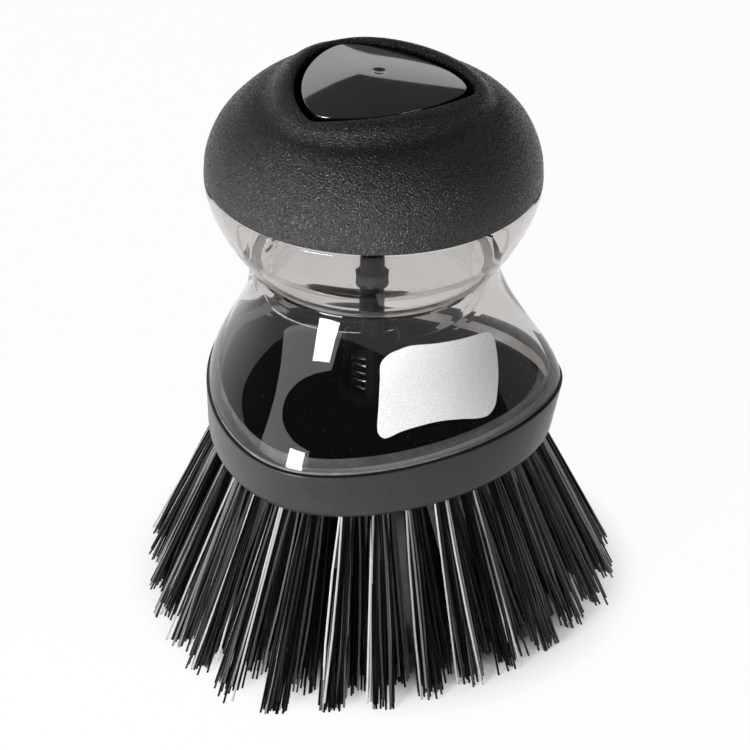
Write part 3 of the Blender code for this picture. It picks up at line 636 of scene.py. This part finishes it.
def make_dome(look):
    """Grip shell whose lip dips at the opening's corners and rises between them."""
    lip_r = OPENING_R + LIP_ROUND
    collar_r = OPENING_R + DOME_COLLAR
    outside = smooth_run([
        dome_layer(lip_r + (SEAM_R - lip_r) * out, SEAM_Z + (LIP_Z - SEAM_Z) * up)
        for out, up in DOME_PROFILE_SHARES
    ])
    tongue_r = bowl_radius(SEAM_Z - SEAT_GAP) - BOWL_WALL + TONGUE_T + SEAT_GAP
    rebate_z = SEAM_Z + TONGUE_HEIGHT
    inside = [
        dome_layer(point.x - DOME_WALL, point.z - DOME_WALL / 2)
        for point in outside[::DOME_INSIDE_STRIDE]
        if point.x - DOME_WALL > collar_r + DOME_COLLAR and point.z - DOME_WALL / 2 > rebate_z
    ]
    layers = [
        *rounded([(tongue_r, 0.0, SEAM_Z), (SEAM_R, 0.0, SEAM_Z, DOME_RIM_ROUND), outside[2]]),
        *outside[3:-1],
        *rounded([
            outside[-2],
            (*dome_layer(OPENING_R + LIP_STEP, LIP_Z), EDGE_ROUND),
            (*dome_layer(OPENING_R, LIP_Z - LIP_ROUND), EDGE_ROUND),
            dome_layer(OPENING_R, COLLAR_LOW_Z),
        ])[1:],
        Vector((collar_r, collar_r * OPENING_PUSH_SHARE, COLLAR_LOW_Z)),
        Vector((collar_r, collar_r * OPENING_PUSH_SHARE, LIP_Z - DOME_WALL - LIP_ROUND)),
        *reversed(inside),
        Vector((SEAM_R - DOME_WALL, 0.0, rebate_z)),
        Vector((tongue_r, 0.0, rebate_z)),
    ]

    def change(point, number, angle):
        rise = clamp((point.z - COLLAR_LOW_Z) / (LIP_Z - COLLAR_LOW_Z))
        point.z -= LIP_WAVE * lip_blend(layers[number].x) * rise * math.cos(CORNERS * angle)

    mesh = loft("dome_shell", layers, turn=CAP_REST_TURN, change=change)
    add_piece("dome_shell", mesh, look, "cap", "grip_dome")


def make_button(look):
    """Crowned button with a small dimple a little off its middle."""
    flange_r = BUTTON_R + BUTTON_FLANGE
    flange_top = BUTTON_LOW_Z + BUTTON_FLANGE_T
    inner_r = BUTTON_R - BUTTON_WALL
    roof_z = BUTTON_EDGE_Z - BUTTON_WALL
    crown = []
    for share in spread(*CROWN_SPAN_SHARES, CROWN_RINGS):
        radius = BUTTON_R * share
        height = BUTTON_EDGE_Z + BUTTON_CROWN * (1 - share ** CROWN_CURVE_SHARE)
        crown.append(Vector((radius, radius * BUTTON_PUSH_SHARE * share, height)))
    turned_back = Matrix.Rotation(-CAP_REST_TURN, 3, "Z")
    peak = turned_back @ PEAK_OFFSET
    dimple = turned_back @ DIMPLE_OFFSET

    def change(point, number, angle):
        if number < CROWN_RINGS:
            point += peak * (1 - number / CROWN_RINGS) ** 2
            reach = min((point.xy - dimple.xy).length / DIMPLE_R, 1.0)
            point.z -= DIMPLE_DEPTH * 0.5 * (1 + math.cos(math.pi * reach))

    def edge(radius, height, *rounding):
        return (radius, radius * BUTTON_PUSH_SHARE, height, *rounding)

    layers = [
        *crown,
        *rounded([
            crown[-1],
            edge(BUTTON_R, BUTTON_EDGE_Z, BUTTON_EDGE_ROUND),
            edge(BUTTON_R, flange_top),
            edge(flange_r, flange_top),
            edge(flange_r, BUTTON_LOW_Z),
            edge(inner_r, BUTTON_LOW_Z),
            edge(inner_r, roof_z),
        ])[1:],
    ]
    mesh = loft("button_shell", layers, hollow=False, turn=CAP_REST_TURN, change=change)
    add_piece("button_shell", mesh, look, "button", "push_button")


def make_rod(look):
    """Rod with pointed ends and a thicker collar below the wiper."""
    low = low_z("push_rod")
    high = high_z("push_rod")
    middle = low + (low_z("rod_wiper") - low) * ROD_COLLAR_PLACE_SHARE
    half = ROD_COLLAR_LENGTH / 2
    section = [
        (ROD_R - ROD_POINT, low, SMALL_ROUND),
        (ROD_R, low + ROD_POINT, SMALL_ROUND),
        (ROD_R, middle - half, EDGE_ROUND),
        (ROD_COLLAR_R, middle - half + ROD_POINT, EDGE_ROUND),
        (ROD_COLLAR_R, middle + half - ROD_POINT, EDGE_ROUND),
        (ROD_R, middle + half, EDGE_ROUND),
        (ROD_R, high - ROD_POINT, SMALL_ROUND),
        (ROD_R - ROD_POINT, high),
    ]
    mesh = loft("rod_body", rounded(circles(section)), SMALL_SEGMENTS, hollow=False)
    add_piece("rod_body", mesh, look, "button", "push_rod")


def make_wiper(look):
    """Rubber ring with two lips and a waist between them."""
    low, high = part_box("rod_wiper")
    outer_r = (high.x - low.x) / 2
    section = [
        (GUIDE_BORE_R, low.z),
        (outer_r - WIPER_CHAMFER, low.z, FINE_ROUND),
        (outer_r, low.z + WIPER_LIP, EDGE_ROUND),
        (outer_r - WIPER_WAIST, (low.z + high.z) / 2, EDGE_ROUND),
        (outer_r, high.z - WIPER_LIP, EDGE_ROUND),
        (outer_r - WIPER_CHAMFER, high.z, FINE_ROUND),
        (GUIDE_BORE_R, high.z),
    ]
    mesh = loft("wiper_ring", rounded(circles(section)), SMALL_SEGMENTS)
    add_piece("wiper_ring", mesh, look, "cap", "rod_wiper")


def make_gasket(name, node, inner_r, outer_r, push, look, body):
    """Flat ring with rounded edges, as high as its node."""
    low = low_z(node)
    high = high_z(node)
    section = [(inner_r, push, low), (outer_r, push, low), (outer_r, push, high), (inner_r, push, high)]
    mesh = loft(name, rounded([(*corner, SMALL_ROUND) for corner in section]))
    add_piece(name, mesh, look, body, node)


def make_head(look, deck_look):
    """Foot: satin ring with a rounded lower edge, and the dull deck that floors the tank."""
    groove_out = SKIRT_R + SEAT_GAP
    groove_in = SKIRT_R - TANK_WALL - SEAT_GAP
    recess_r = CAGE_FLANGE_R + SEAT_GAP
    recess_z = DECK_Z - CAGE_RECESS
    layers = rounded([
        (POCKET_R, RING_LOW_PUSH, DECK_LOW_Z, POCKET_ROUND),
        (POCKET_R, RING_LOW_PUSH, RING_LOW_Z, EDGE_ROUND),
        (RING_LOW_R, RING_LOW_PUSH, RING_LOW_Z, RING_ROUND),
        (RING_TOP_R, FOOT_PUSH, RING_TOP_Z, RING_EDGE_ROUND),
        (groove_out, FOOT_PUSH, RING_TOP_Z, FINE_ROUND),
        (groove_out, FOOT_PUSH, GROOVE_Z),
        (groove_in, FOOT_PUSH, GROOVE_Z),
        (groove_in, FOOT_PUSH, DECK_Z, SMALL_ROUND),
        (recess_r, 0.0, DECK_Z, SMALL_ROUND),
        (recess_r, 0.0, recess_z),
        (OUTLET_R, 0.0, recess_z, SMALL_ROUND),
        (OUTLET_R, 0.0, DECK_LOW_Z),
    ])
    mesh = loft("foot_shell", layers)
    add_piece("foot_shell", mesh, look, "base", "brush_head")
    mesh.materials.append(deck_look)
    for face in mesh.polygons:
        if face.normal.z > DECK_LEAST_SHARE and DECK_LOW_Z < face.center.z < DECK_Z + SEAT_GAP:
            face.material_index = 1


def make_spring(name, node, curls, look, body):
    """A compression spring with one close curl at each end."""
    low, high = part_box(node)
    coil_r = (high.y - low.y) / 2 - WIRE_R
    close = 2 * WIRE_R + END_CURL_GAP
    bottom = low.z + WIRE_R
    pitch = (high.z - low.z - 2 * WIRE_R - 2 * close) / (curls - 2)
    path = []
    for step in range(curls * CURL_POINTS + 1):
        turns = step / CURL_POINTS
        rise = close * min(turns, 1.0) + pitch * min(max(turns - 1, 0.0), curls - 2)
        rise += close * max(turns - curls + 1, 0.0)
        angle = FULL_TURN * turns
        path.append(Vector((AXIS_X + coil_r * math.cos(angle), coil_r * math.sin(angle), bottom + rise)))
    mesh = tube_mesh(name, path, WIRE_R, WIRE_SIDES)
    piece = add_piece(name, mesh, look, body, node)
    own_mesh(piece)


def even_angles(mean, push, middle_angle, count):
    """Normal angles of points spaced evenly round one corner of the outline."""
    fine = count * PLACE_STEPS
    angles = [middle_angle + FULL_TURN / CORNERS * (step / fine - 0.5) for step in range(fine + 1)]
    points = [outline_point(mean, push, angle) for angle in angles]
    reached = [0.0]
    for before, after in zip(points, points[1:]):
        reached.append(reached[-1] + (after - before).length)
    places = []
    for index in range(count):
        wanted = reached[-1] * (index + 0.5) / count
        places.append(angles[next(i for i, length in enumerate(reached) if length >= wanted)])
    return places


def sunflower(count):
    """Evenly packed places in a unit disc."""
    golden = math.pi * (3 - math.sqrt(5))
    return [
        (math.sqrt((index + 0.5) / count) * math.cos(index * golden),
         math.sqrt((index + 0.5) / count) * math.sin(index * golden))
        for index in range(count)
    ]


def keep_in_box(point):
    """Hold a filament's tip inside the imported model's footprint."""
    low, high = CAD_BOX
    point.x = min(max(point.x, low[0] + FILAMENT_R), high[0] - FILAMENT_R)
    point.y = min(max(point.y, low[1] + FILAMENT_R), high[1] - FILAMENT_R)
    point.z = max(point.z, 0.0)


def add_filament(bm, root, tip, bend, tone_and_sheen, layer):
    """One thin strand with a slight bend, cut level at its tip."""
    around = [(FILAMENT_R * math.cos(angle), FILAMENT_R * math.sin(angle))
              for angle in turn_angles(FILAMENT_SIDES)]
    rings = []
    for step in range(FILAMENT_STEPS + 1):
        share = step / FILAMENT_STEPS
        centre = root.lerp(tip, share) + bend * (4 * share * (1 - share))
        rings.append([bm.verts.new((centre.x + x, centre.y + y, centre.z)) for x, y in around])
    faces = [bm.faces.new(rings[-1]), bm.faces.new(list(reversed(rings[0])))]
    for high, low in zip(rings, rings[1:]):
        faces += bridge(bm, low, high)
    for face in faces:
        face.smooth = True
        for corner in face.loops:
            corner[layer] = (tone_and_sheen, tone_and_sheen, tone_and_sheen, 1.0)


def add_tuft(bm, root, tip, angle, side_splay, layer, rng):
    """Every filament of one tuft, splayed about the line from its root to its tip."""
    out = Vector((math.cos(angle), math.sin(angle), 0.0))
    side = Vector((-out.y, out.x, 0.0))
    leant = tip + side * rng.uniform(-1, 1) * TUFT_LEAN
    reach = TUFT_R - FILAMENT_R
    for across, along in sunflower(FILAMENTS):
        shift = (out * across + side * along) * reach
        splayed = (out * across + side * along * side_splay) * reach * TUFT_SPLAY_SHARE
        spread_by = STRAY_SCATTER if rng.random() < STRAY_SHARE else TIP_SCATTER
        scatter = Vector((rng.uniform(-1, 1), rng.uniform(-1, 1), 0.0)) * spread_by
        bend = (out * rng.uniform(-BEND_IN_SHARE, 1) + side * rng.uniform(-1, 1)) * FILAMENT_BEND
        end = leant + splayed + scatter
        end = end.lerp(root + shift, CUT_SHARE * rng.random() ** 2)
        keep_in_box(end)
        # The strand's random number sets its black, and at the top of its range a painted highlight
        add_filament(bm, root + shift, end, bend, rng.random(), layer)


def add_backing(bm, band, middle_angle):
    """One corner of the backing, swept from a section of (mean, push, height)."""
    steps = SEGMENTS // CORNERS
    loops = []
    for step in range(steps + 1):
        angle = middle_angle + FULL_TURN / CORNERS * (step / steps - 0.5)
        loop = []
        for mean, push, height in band:
            point = outline_point(mean, push, angle)
            loop.append(bm.verts.new((point.x + AXIS_X, point.y, height)))
        loops.append(loop)
    for low, high in zip(loops, loops[1:]):
        bridge(bm, low, high)
    bm.faces.new(loops[0])
    bm.faces.new(loops[-1])


def make_tufts(row, third, look, rng):
    """A third of one row: its band of the backing and every filament of its tufts.

    The middle row's thirds lie between the foot's corners, the others' round them.
    """
    middle_angle = FULL_TURN * (third + (row % 2) / 2) / CORNERS
    backing_top = DECK_LOW_Z - SEAT_GAP
    backing_low = backing_top - BACKING_T
    edge_r = BACKING_R - row * ROW_STEP
    band_in = edge_r - ROW_STEP + SEAT_GAP
    root_r = edge_r - BACKING_EDGE - TUFT_R
    tip_r = root_r + TIP_FLARE - row * TIP_FLARE_STEP
    fade = 1 - row / len(ROW_NAMES)
    push = RING_LOW_PUSH * fade
    inner_push = RING_LOW_PUSH * (1 - (row + 1) / len(ROW_NAMES))
    bm = bmesh.new()
    layer = bm.loops.layers.float_color.new(STRAND_SHEEN_LAYER)
    add_backing(bm, [
        (band_in, inner_push, backing_top), (edge_r, push, backing_top),
        (edge_r, push, backing_low), (band_in, inner_push, backing_low),
    ], middle_angle)
    for angle in even_angles(root_r, push, middle_angle, TUFT_COUNTS[row]):
        root = outline_point(root_r, push, angle) + Vector((AXIS_X, 0.0, backing_low + ROOT_DEPTH))
        worn = max(math.cos(angle - WORN_ANGLE), 0.0) ** WORN_POWER * WORN_REACH * fade
        tip = outline_point(tip_r + worn, FOOT_PUSH * fade, angle) + Vector((AXIS_X, 0.0, 0.0))
        add_tuft(bm, root, tip, angle, SIDE_SPLAY_SHARES[row], layer, rng)
    name = f"tufts_{ROW_NAMES[row]}_{third + 1}"
    node = f"bristles_{ROW_NAMES[row]}_{third + 1}"
    add_piece(name, finish_mesh(name, bm), look, "base", node)


def sign_place(across, up, proud):
    """A place on the bare plate: across and up are shares of its width and height."""
    angle = SIGN_LEFT + (SIGN_RIGHT - SIGN_LEFT) * across
    return bell_place(angle, SIGN_LOW_Z + (SIGN_TOP_Z - SIGN_LOW_Z) * up, proud)


def make_sign(look):
    """Thin bare plate that follows the tank's front, with a waved top and bottom."""
    bm = bmesh.new()
    middle = Vector(SIGN_MIDDLE_SHARES)
    corners = [Vector(share) for share in SIGN_OUTLINE_SHARES]
    looped = smooth_run([corners[-1], *corners, corners[0], corners[1]])
    edge = looped[CURVE_STEPS:-CURVE_STEPS - 1]
    count = len(edge)
    for proud in (SIGN_SEAT, SIGN_SEAT + SIGN_T):
        rings = [
            [bm.verts.new(sign_place(*middle.lerp(point, ring / SIGN_RINGS), proud)) for point in edge]
            for ring in range(1, SIGN_RINGS + 1)
        ]
        centre = bm.verts.new(sign_place(*middle, proud))
        for point in range(count):
            after = (point + 1) % count
            bm.faces.new((centre, rings[0][point], rings[0][after]))
            for low, high in zip(rings, rings[1:]):
                bm.faces.new((low[point], high[point], high[after], low[after]))
        if proud == SIGN_SEAT:
            under = rings[-1]
    bridge(bm, under, rings[-1])
    add_piece("front_sign", finish_mesh("front_sign", bm), look, "base")


def grey(level):
    return (level, level, level)


class Look:
    """A material, made with its shader's plain values and then varied over the surface."""

    def __init__(self, name, colour, sockets):
        self.material = bpy.data.materials.new(name)
        self.material.use_nodes = True
        self.nodes = self.material.node_tree.nodes
        self.links = self.material.node_tree.links
        self.shader = self.nodes["Principled BSDF"]
        self.shader.inputs["Base Color"].default_value = (*colour, 1.0)
        for socket, value in sockets.items():
            self.shader.inputs[socket].default_value = value

    def noise(self, size, detail, stretch=(1.0, 1.0, 1.0)):
        """Noise whose grains are about that size, in object space."""
        place = self.nodes.new("ShaderNodeTexCoord")
        mapping = self.nodes.new("ShaderNodeMapping")
        mapping.inputs["Scale"].default_value = stretch
        noise = self.nodes.new("ShaderNodeTexNoise")
        noise.inputs["Scale"].default_value = 1 / size
        noise.inputs["Detail"].default_value = detail
        self.links.new(place.outputs["Object"], mapping.inputs["Vector"])
        self.links.new(mapping.outputs["Vector"], noise.inputs["Vector"])
        return noise.outputs["Fac"]

    def bump(self, source, strength, distance):
        """Raise the surface by a noise."""
        bump = self.nodes.new("ShaderNodeBump")
        bump.inputs["Strength"].default_value = strength
        bump.inputs["Distance"].default_value = distance
        self.links.new(source, bump.inputs["Height"])
        self.links.new(bump.outputs["Normal"], self.shader.inputs["Normal"])

    def roughen(self, source, low, high):
        """Spread the roughness over a range by a noise."""
        span = self.nodes.new("ShaderNodeMapRange")
        span.inputs["From Min"].default_value = NOISE_LOW_SHARE
        span.inputs["From Max"].default_value = NOISE_HIGH_SHARE
        span.inputs["To Min"].default_value = low
        span.inputs["To Max"].default_value = high
        self.links.new(source, span.inputs["Value"])
        self.links.new(span.outputs["Result"], self.shader.inputs["Roughness"])

    def colour_stops(self, source, stops):
        """Colour the surface by a noise, along stops of (share, colour)."""
        ramp = self.nodes.new("ShaderNodeValToRGB")
        elements = ramp.color_ramp.elements
        elements[0].position = stops[0][0]
        elements[1].position = stops[-1][0]
        for share, _ in stops[1:-1]:
            elements.new(share)
        for element, (_, colour) in zip(elements, stops):
            element.color = (*colour, 1.0)
        self.links.new(source, ramp.inputs["Fac"])
        self.links.new(ramp.outputs["Color"], self.shader.inputs["Base Color"])

    def mottle(self, source, dark, light):
        """Colour the surface by a noise, from dark to light."""
        self.colour_stops(source, ((NOISE_LOW_SHARE, dark), (NOISE_HIGH_SHARE, light)))


def dome_black():
    """Matt black plastic with a spark-eroded grain."""
    look = Look("dome_black", (0.01, 0.01, 0.011), {"Roughness": 0.3, "Specular IOR Level": 0.36})
    grain = look.noise(size=0.3 * MM, detail=1.0)
    patches = look.noise(size=0.4 * MM, detail=1.0)
    look.roughen(patches, low=0.12, high=0.62)
    look.mottle(grain, dark=(0.002, 0.002, 0.002), light=(0.014, 0.014, 0.015))
    look.bump(grain, strength=1.0, distance=0.38 * MM)
    return look.material


def button_black():
    """High-gloss black plastic, with the faint waves and smears of a handled part."""
    look = Look("button_black", (0.008, 0.008, 0.009), {
        "Roughness": 0.07, "Specular IOR Level": 0.9,
        "Coat Weight": 1.0, "Coat IOR": 1.75, "Coat Roughness": 0.03,
    })
    smear = look.noise(size=4 * MM, detail=4.0, stretch=(1.0, 3.0, 1.0))
    look.roughen(smear, low=0.05, high=0.11)
    look.bump(smear, strength=0.05, distance=0.05 * MM)
    return look.material


def clear_smoke():
    """Clear plastic with a light warm grey tint and faint flow waves."""
    look = Look("clear_smoke", (0.60, 0.578, 0.565), {
        "Roughness": 0.015, "IOR": 1.03, "Transmission Weight": 1.0,
        "Coat Weight": 0.7, "Coat Roughness": 0.02,
    })
    flow = look.noise(size=9 * MM, detail=2.0, stretch=(1.0, 1.0, 0.5))
    look.mottle(flow, dark=(0.585, 0.563, 0.55), light=(0.615, 0.593, 0.58))
    look.bump(flow, strength=0.12, distance=0.2 * MM)
    return look.material


def clear_inside():
    """The same plastic on the walls' inner faces, which the tinted outer skin covers."""
    look = Look("clear_inside", (0.95, 0.945, 0.94), {
        "Roughness": 0.02, "IOR": 1.015, "Transmission Weight": 1.0,
    })
    flow = look.noise(size=6 * MM, detail=2.0)
    look.mottle(flow, dark=(0.93, 0.925, 0.92), light=(0.97, 0.965, 0.96))
    return look.material


def painted_light_skirt():
    """Painted light: a white frosted band on the skirt's inner faces, standing in for light seen through
    the wall's thickness.
    """
    look = Look("painted_light_skirt", (0.8, 0.79, 0.78), {"Roughness": 0.5, "Transmission Weight": 0.15})
    skirt_mottle = look.noise(size=0.8 * MM, detail=3.0)
    look.mottle(skirt_mottle, dark=(0.84, 0.83, 0.82), light=(0.94, 0.93, 0.92))
    look.bump(skirt_mottle, strength=0.2, distance=0.05 * MM)
    return look.material


def painted_light_band():
    """Painted light: a cloudy grey band just above the foot, standing in for light seen through the
    wall's thickness, and outside a thin painted highlight line.
    """
    look = Look("painted_light_band", (0.16, 0.155, 0.15), {
        "Roughness": 0.35, "IOR": 1.1, "Transmission Weight": 0.45,
    })
    # The grey of this band is painted light, not a cloud in the plastic
    cloud = look.noise(size=2.5 * MM, detail=3.0)
    look.mottle(cloud, dark=(0.12, 0.117, 0.115), light=(0.22, 0.215, 0.21))
    return look.material


def foot_grey():
    """Satin grey-black plastic."""
    look = Look("foot_grey", (0.022, 0.022, 0.023), {"Roughness": 0.3, "Specular IOR Level": 0.32})
    skin = look.noise(size=0.5 * MM, detail=2.0)
    patches = look.noise(size=3 * MM, detail=3.0)
    look.roughen(patches, low=0.26, high=0.36)
    look.mottle(patches, dark=(0.014, 0.014, 0.015), light=(0.018, 0.018, 0.019))
    look.bump(skin, strength=0.15, distance=0.03 * MM)
    return look.material


def deck_black():
    """Dull black floor of the tank, with specks of dried soap and dust."""
    look = Look("deck_black", grey(0.006), {"Roughness": 0.6, "Specular IOR Level": 0.05})
    specks = look.noise(size=0.55 * MM, detail=3.0)
    look.colour_stops(specks, ((0.7, grey(0.006)), (0.78, grey(0.5))))
    patches = look.noise(size=4 * MM, detail=4.0)
    look.bump(patches, strength=0.3, distance=0.1 * MM)
    return look.material


def inner_black():
    """Black plastic of the hidden works, a little uneven."""
    look = Look("inner_black", grey(0.006), {"Roughness": 0.4, "Specular IOR Level": 0.2})
    patches = look.noise(size=1.5 * MM, detail=3.0)
    look.roughen(patches, low=0.28, high=0.42)
    look.bump(patches, strength=0.2, distance=0.05 * MM)
    return look.material


def seal_rubber():
    """Matt black rubber with a little dust."""
    look = Look("seal_rubber", grey(0.02), {"Roughness": 0.65})
    dust = look.noise(size=0.6 * MM, detail=4.0)
    look.mottle(dust, dark=grey(0.015), light=grey(0.03))
    look.bump(dust, strength=0.3, distance=0.03 * MM)
    return look.material


def clear_rubber():
    """Cloudy see-through rubber of the neck's gasket."""
    look = Look("clear_rubber", (0.6, 0.59, 0.58), {
        "Roughness": 0.3, "IOR": 1.05, "Transmission Weight": 0.85,
    })
    cloud = look.noise(size=1.2 * MM, detail=3.0)
    look.mottle(cloud, dark=(0.54, 0.53, 0.52), light=(0.68, 0.67, 0.66))
    return look.material


def spring_steel():
    """Drawn steel wire with fine streaks, dulled by soap."""
    look = Look("spring_steel", (0.16, 0.16, 0.165), {"Roughness": 0.34, "Metallic": 1.0})
    streak = look.noise(size=0.4 * MM, detail=3.0, stretch=(1.0, 1.0, 4.0))
    look.roughen(streak, low=0.2, high=0.38)
    look.bump(streak, strength=0.2, distance=0.01 * MM)
    return look.material


def bristle_black():
    """Drawn black nylon; each strand has its own depth of black, and a few strands are painted light
    grey as painted highlights.
    """
    look = Look("bristle_black", grey(0.012), {"Roughness": 0.25, "Specular IOR Level": 0.35})
    strand = look.nodes.new("ShaderNodeAttribute")
    strand.attribute_name = STRAND_SHEEN_LAYER
    tone_and_sheen = strand.outputs["Fac"]
    look.roughen(tone_and_sheen, low=0.14, high=0.3)
    # Darker to lighter black; the top of the range ramps to light grey as painted highlights on the
    # strands
    look.colour_stops(tone_and_sheen, ((0.6, grey(0.001)), (0.82, grey(0.05)), (1.0, grey(0.4))))
    fine = look.noise(size=0.3 * MM, detail=2.0, stretch=(1.0, 1.0, 0.1))
    look.bump(fine, strength=0.2, distance=0.02 * MM)
    return look.material


def sign_silver():
    """Silver-white plate with a fine metallic grain."""
    look = Look("sign_silver", grey(0.78), {"Roughness": 0.42, "Metallic": 0.25})
    grain = look.noise(size=0.22 * MM, detail=3.0)
    look.mottle(grain, dark=grey(0.52), light=grey(0.74))
    look.bump(grain, strength=0.25, distance=0.02 * MM)
    return look.material


def visible_rays(look):
    """1 for rays that the camera sees straight, in a reflection or through clear parts."""
    path = look.nodes.new("ShaderNodeLightPath")
    total = path.outputs["Is Camera Ray"]
    for kind in ("Is Glossy Ray", "Is Transmission Ray"):
        pick = look.nodes.new("ShaderNodeMath")
        pick.operation = "MAXIMUM"
        look.links.new(total, pick.inputs[0])
        look.links.new(path.outputs[kind], pick.inputs[1])
        total = pick.outputs["Value"]
    return total


def floor_white():
    """Matt pale surface near the object, which turns to an even white further out."""
    look = Look("floor_white", grey(0.9), {"Roughness": 0.8, "Specular IOR Level": 0.0})
    nodes, links = look.nodes, look.links
    place = nodes.new("ShaderNodeTexCoord")
    away = nodes.new("ShaderNodeVectorMath")
    away.operation = "LENGTH"
    links.new(place.outputs["Object"], away.inputs[0])
    fade = nodes.new("ShaderNodeMapRange")
    fade.interpolation_type = "SMOOTHSTEP"
    fade.inputs["From Min"].default_value = SHADE_R
    fade.inputs["From Max"].default_value = WHITE_R
    fade.inputs["To Max"].default_value = WHITE_SHARE
    links.new(away.outputs["Value"], fade.inputs["Value"])
    share = nodes.new("ShaderNodeMath")
    share.operation = "MULTIPLY"
    links.new(visible_rays(look), share.inputs[0])
    links.new(fade.outputs["Result"], share.inputs[1])
    glow = nodes.new("ShaderNodeEmission")
    glow.inputs["Strength"].default_value = 1.0
    mix = nodes.new("ShaderNodeMixShader")
    links.new(share.outputs["Value"], mix.inputs["Fac"])
    links.new(look.shader.outputs["BSDF"], mix.inputs[1])
    links.new(glow.outputs["Emission"], mix.inputs[2])
    links.new(mix.outputs["Shader"], nodes["Material Output"].inputs["Surface"])
    return look.material


def make_floor():
    """Pale floor that shows white and keeps the object's soft shadow."""
    half = FLOOR_SIZE / 2
    corners = [(-half, -half, 0), (half, -half, 0), (half, half, 0), (-half, half, 0)]
    mesh = bpy.data.meshes.new("floor")
    mesh.from_pydata(corners, [], [(0, 1, 2, 3)])
    mesh.materials.append(floor_white())
    floor = bpy.data.objects.new("floor", mesh)
    floor.location.z = -FLOOR_DROP
    bpy.context.collection.objects.link(floor)


def make_world():
    """A plain dim studio round the object."""
    world = bpy.data.worlds.new("studio")
    bpy.context.scene.world = world
    world.use_nodes = True
    background = world.node_tree.nodes["Background"]
    background.inputs["Color"].default_value = (1.0, 1.0, 1.0, 1.0)
    background.inputs["Strength"].default_value = WORLD_LEVEL


def make_light(name, azimuth, low, high, width, distance, level):
    """A soft upright light, which faces the object."""
    light = bpy.data.lights.new(name, "AREA")
    light.shape = "RECTANGLE"
    height = high - low
    light.size = width
    light.size_y = height
    light.energy = LAMP_WATTS * width * height * level
    lamp = bpy.data.objects.new(name, light)
    angle = math.radians(azimuth)
    lamp.location = (distance * math.cos(angle), distance * math.sin(angle), (low + high) / 2)
    facing = Vector((-math.cos(angle), -math.sin(angle), 0.0))
    lamp.rotation_euler = facing.to_track_quat("-Z", "Y").to_euler()
    lamp.visible_camera = False
    bpy.context.collection.objects.link(lamp)
    return lamp


def make_camera():
    cam = bpy.data.cameras.new("camera")
    cam.lens = CAMERA_LENS
    cam.sensor_width = SENSOR_WIDTH
    cam.clip_start = CAMERA_NEAR
    cam.clip_end = CAMERA_FAR
    camera = bpy.data.objects.new("camera", cam)
    bpy.context.collection.objects.link(camera)
    back = Vector((
        math.cos(CAMERA_ELEVATION) * math.cos(CAMERA_AZIMUTH),
        math.cos(CAMERA_ELEVATION) * math.sin(CAMERA_AZIMUTH),
        math.sin(CAMERA_ELEVATION),
    ))
    right = Vector((0.0, 0.0, 1.0)).cross(back).normalized()
    up = back.cross(right)
    cos, sin = math.cos(CAMERA_ROLL), math.sin(CAMERA_ROLL)
    turned_right = right * cos + up * sin
    turned_up = up * cos - right * sin
    turn = Matrix((turned_right, turned_up, back)).transposed()
    camera.matrix_world = Matrix.Translation(CAMERA_AIM + back * CAMERA_DISTANCE) @ turn.to_4x4()
    bpy.context.scene.camera = camera


def dress_nodes(looks):
    """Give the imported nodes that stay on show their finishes."""
    for node, look in looks.items():
        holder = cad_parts[node]
        holder.data.materials.clear()
        holder.data.materials.append(look)


def main():
    clear = clear_smoke()
    inside = clear_inside()
    inner = inner_black()
    rubber = seal_rubber()
    steel = spring_steel()
    bristle = bristle_black()
    rng = random.Random(SEED)
    neck_ring_r = PLUG_R + SEAT_GAP

    make_camera()
    make_head(foot_grey(), deck_black())
    for row in range(len(ROW_NAMES)):
        for third in range(CORNERS):
            make_tufts(row, third, bristle, rng)
    make_gasket("base_seal", "base_gasket", SKIRT_R - TANK_WALL, SKIRT_R, FOOT_PUSH, rubber, "base")
    make_tank(clear, inside, painted_light_skirt(), painted_light_band())
    make_sign(sign_silver())
    make_gasket("neck_seal_ring", "neck_gasket", neck_ring_r, neck_ring_r + GASKET_WIDTH, 0.0,
                clear_rubber(), "neck_seal")
    make_bowl(clear, inside)
    make_wiper(rubber)
    make_dome(dome_black())
    make_button(button_black())
    make_rod(inner)
    make_spring("spring_top", "return_spring", TOP_CURLS, steel, "cap")
    make_spring("spring_low", "valve_spring", LOW_CURLS, steel, "base")
    dress_nodes({
        "valve_cage": inner, "valve_plunger": inner, "spring_retainer": inner, "valve_washer": rubber,
    })

    make_floor()
    make_world()
    for lamp in LAMPS:
        make_light(*lamp)
    for card in BACKDROPS:
        make_light(*card).visible_transmission = False
    bpy.context.scene.view_settings.view_transform = "Standard"


main()
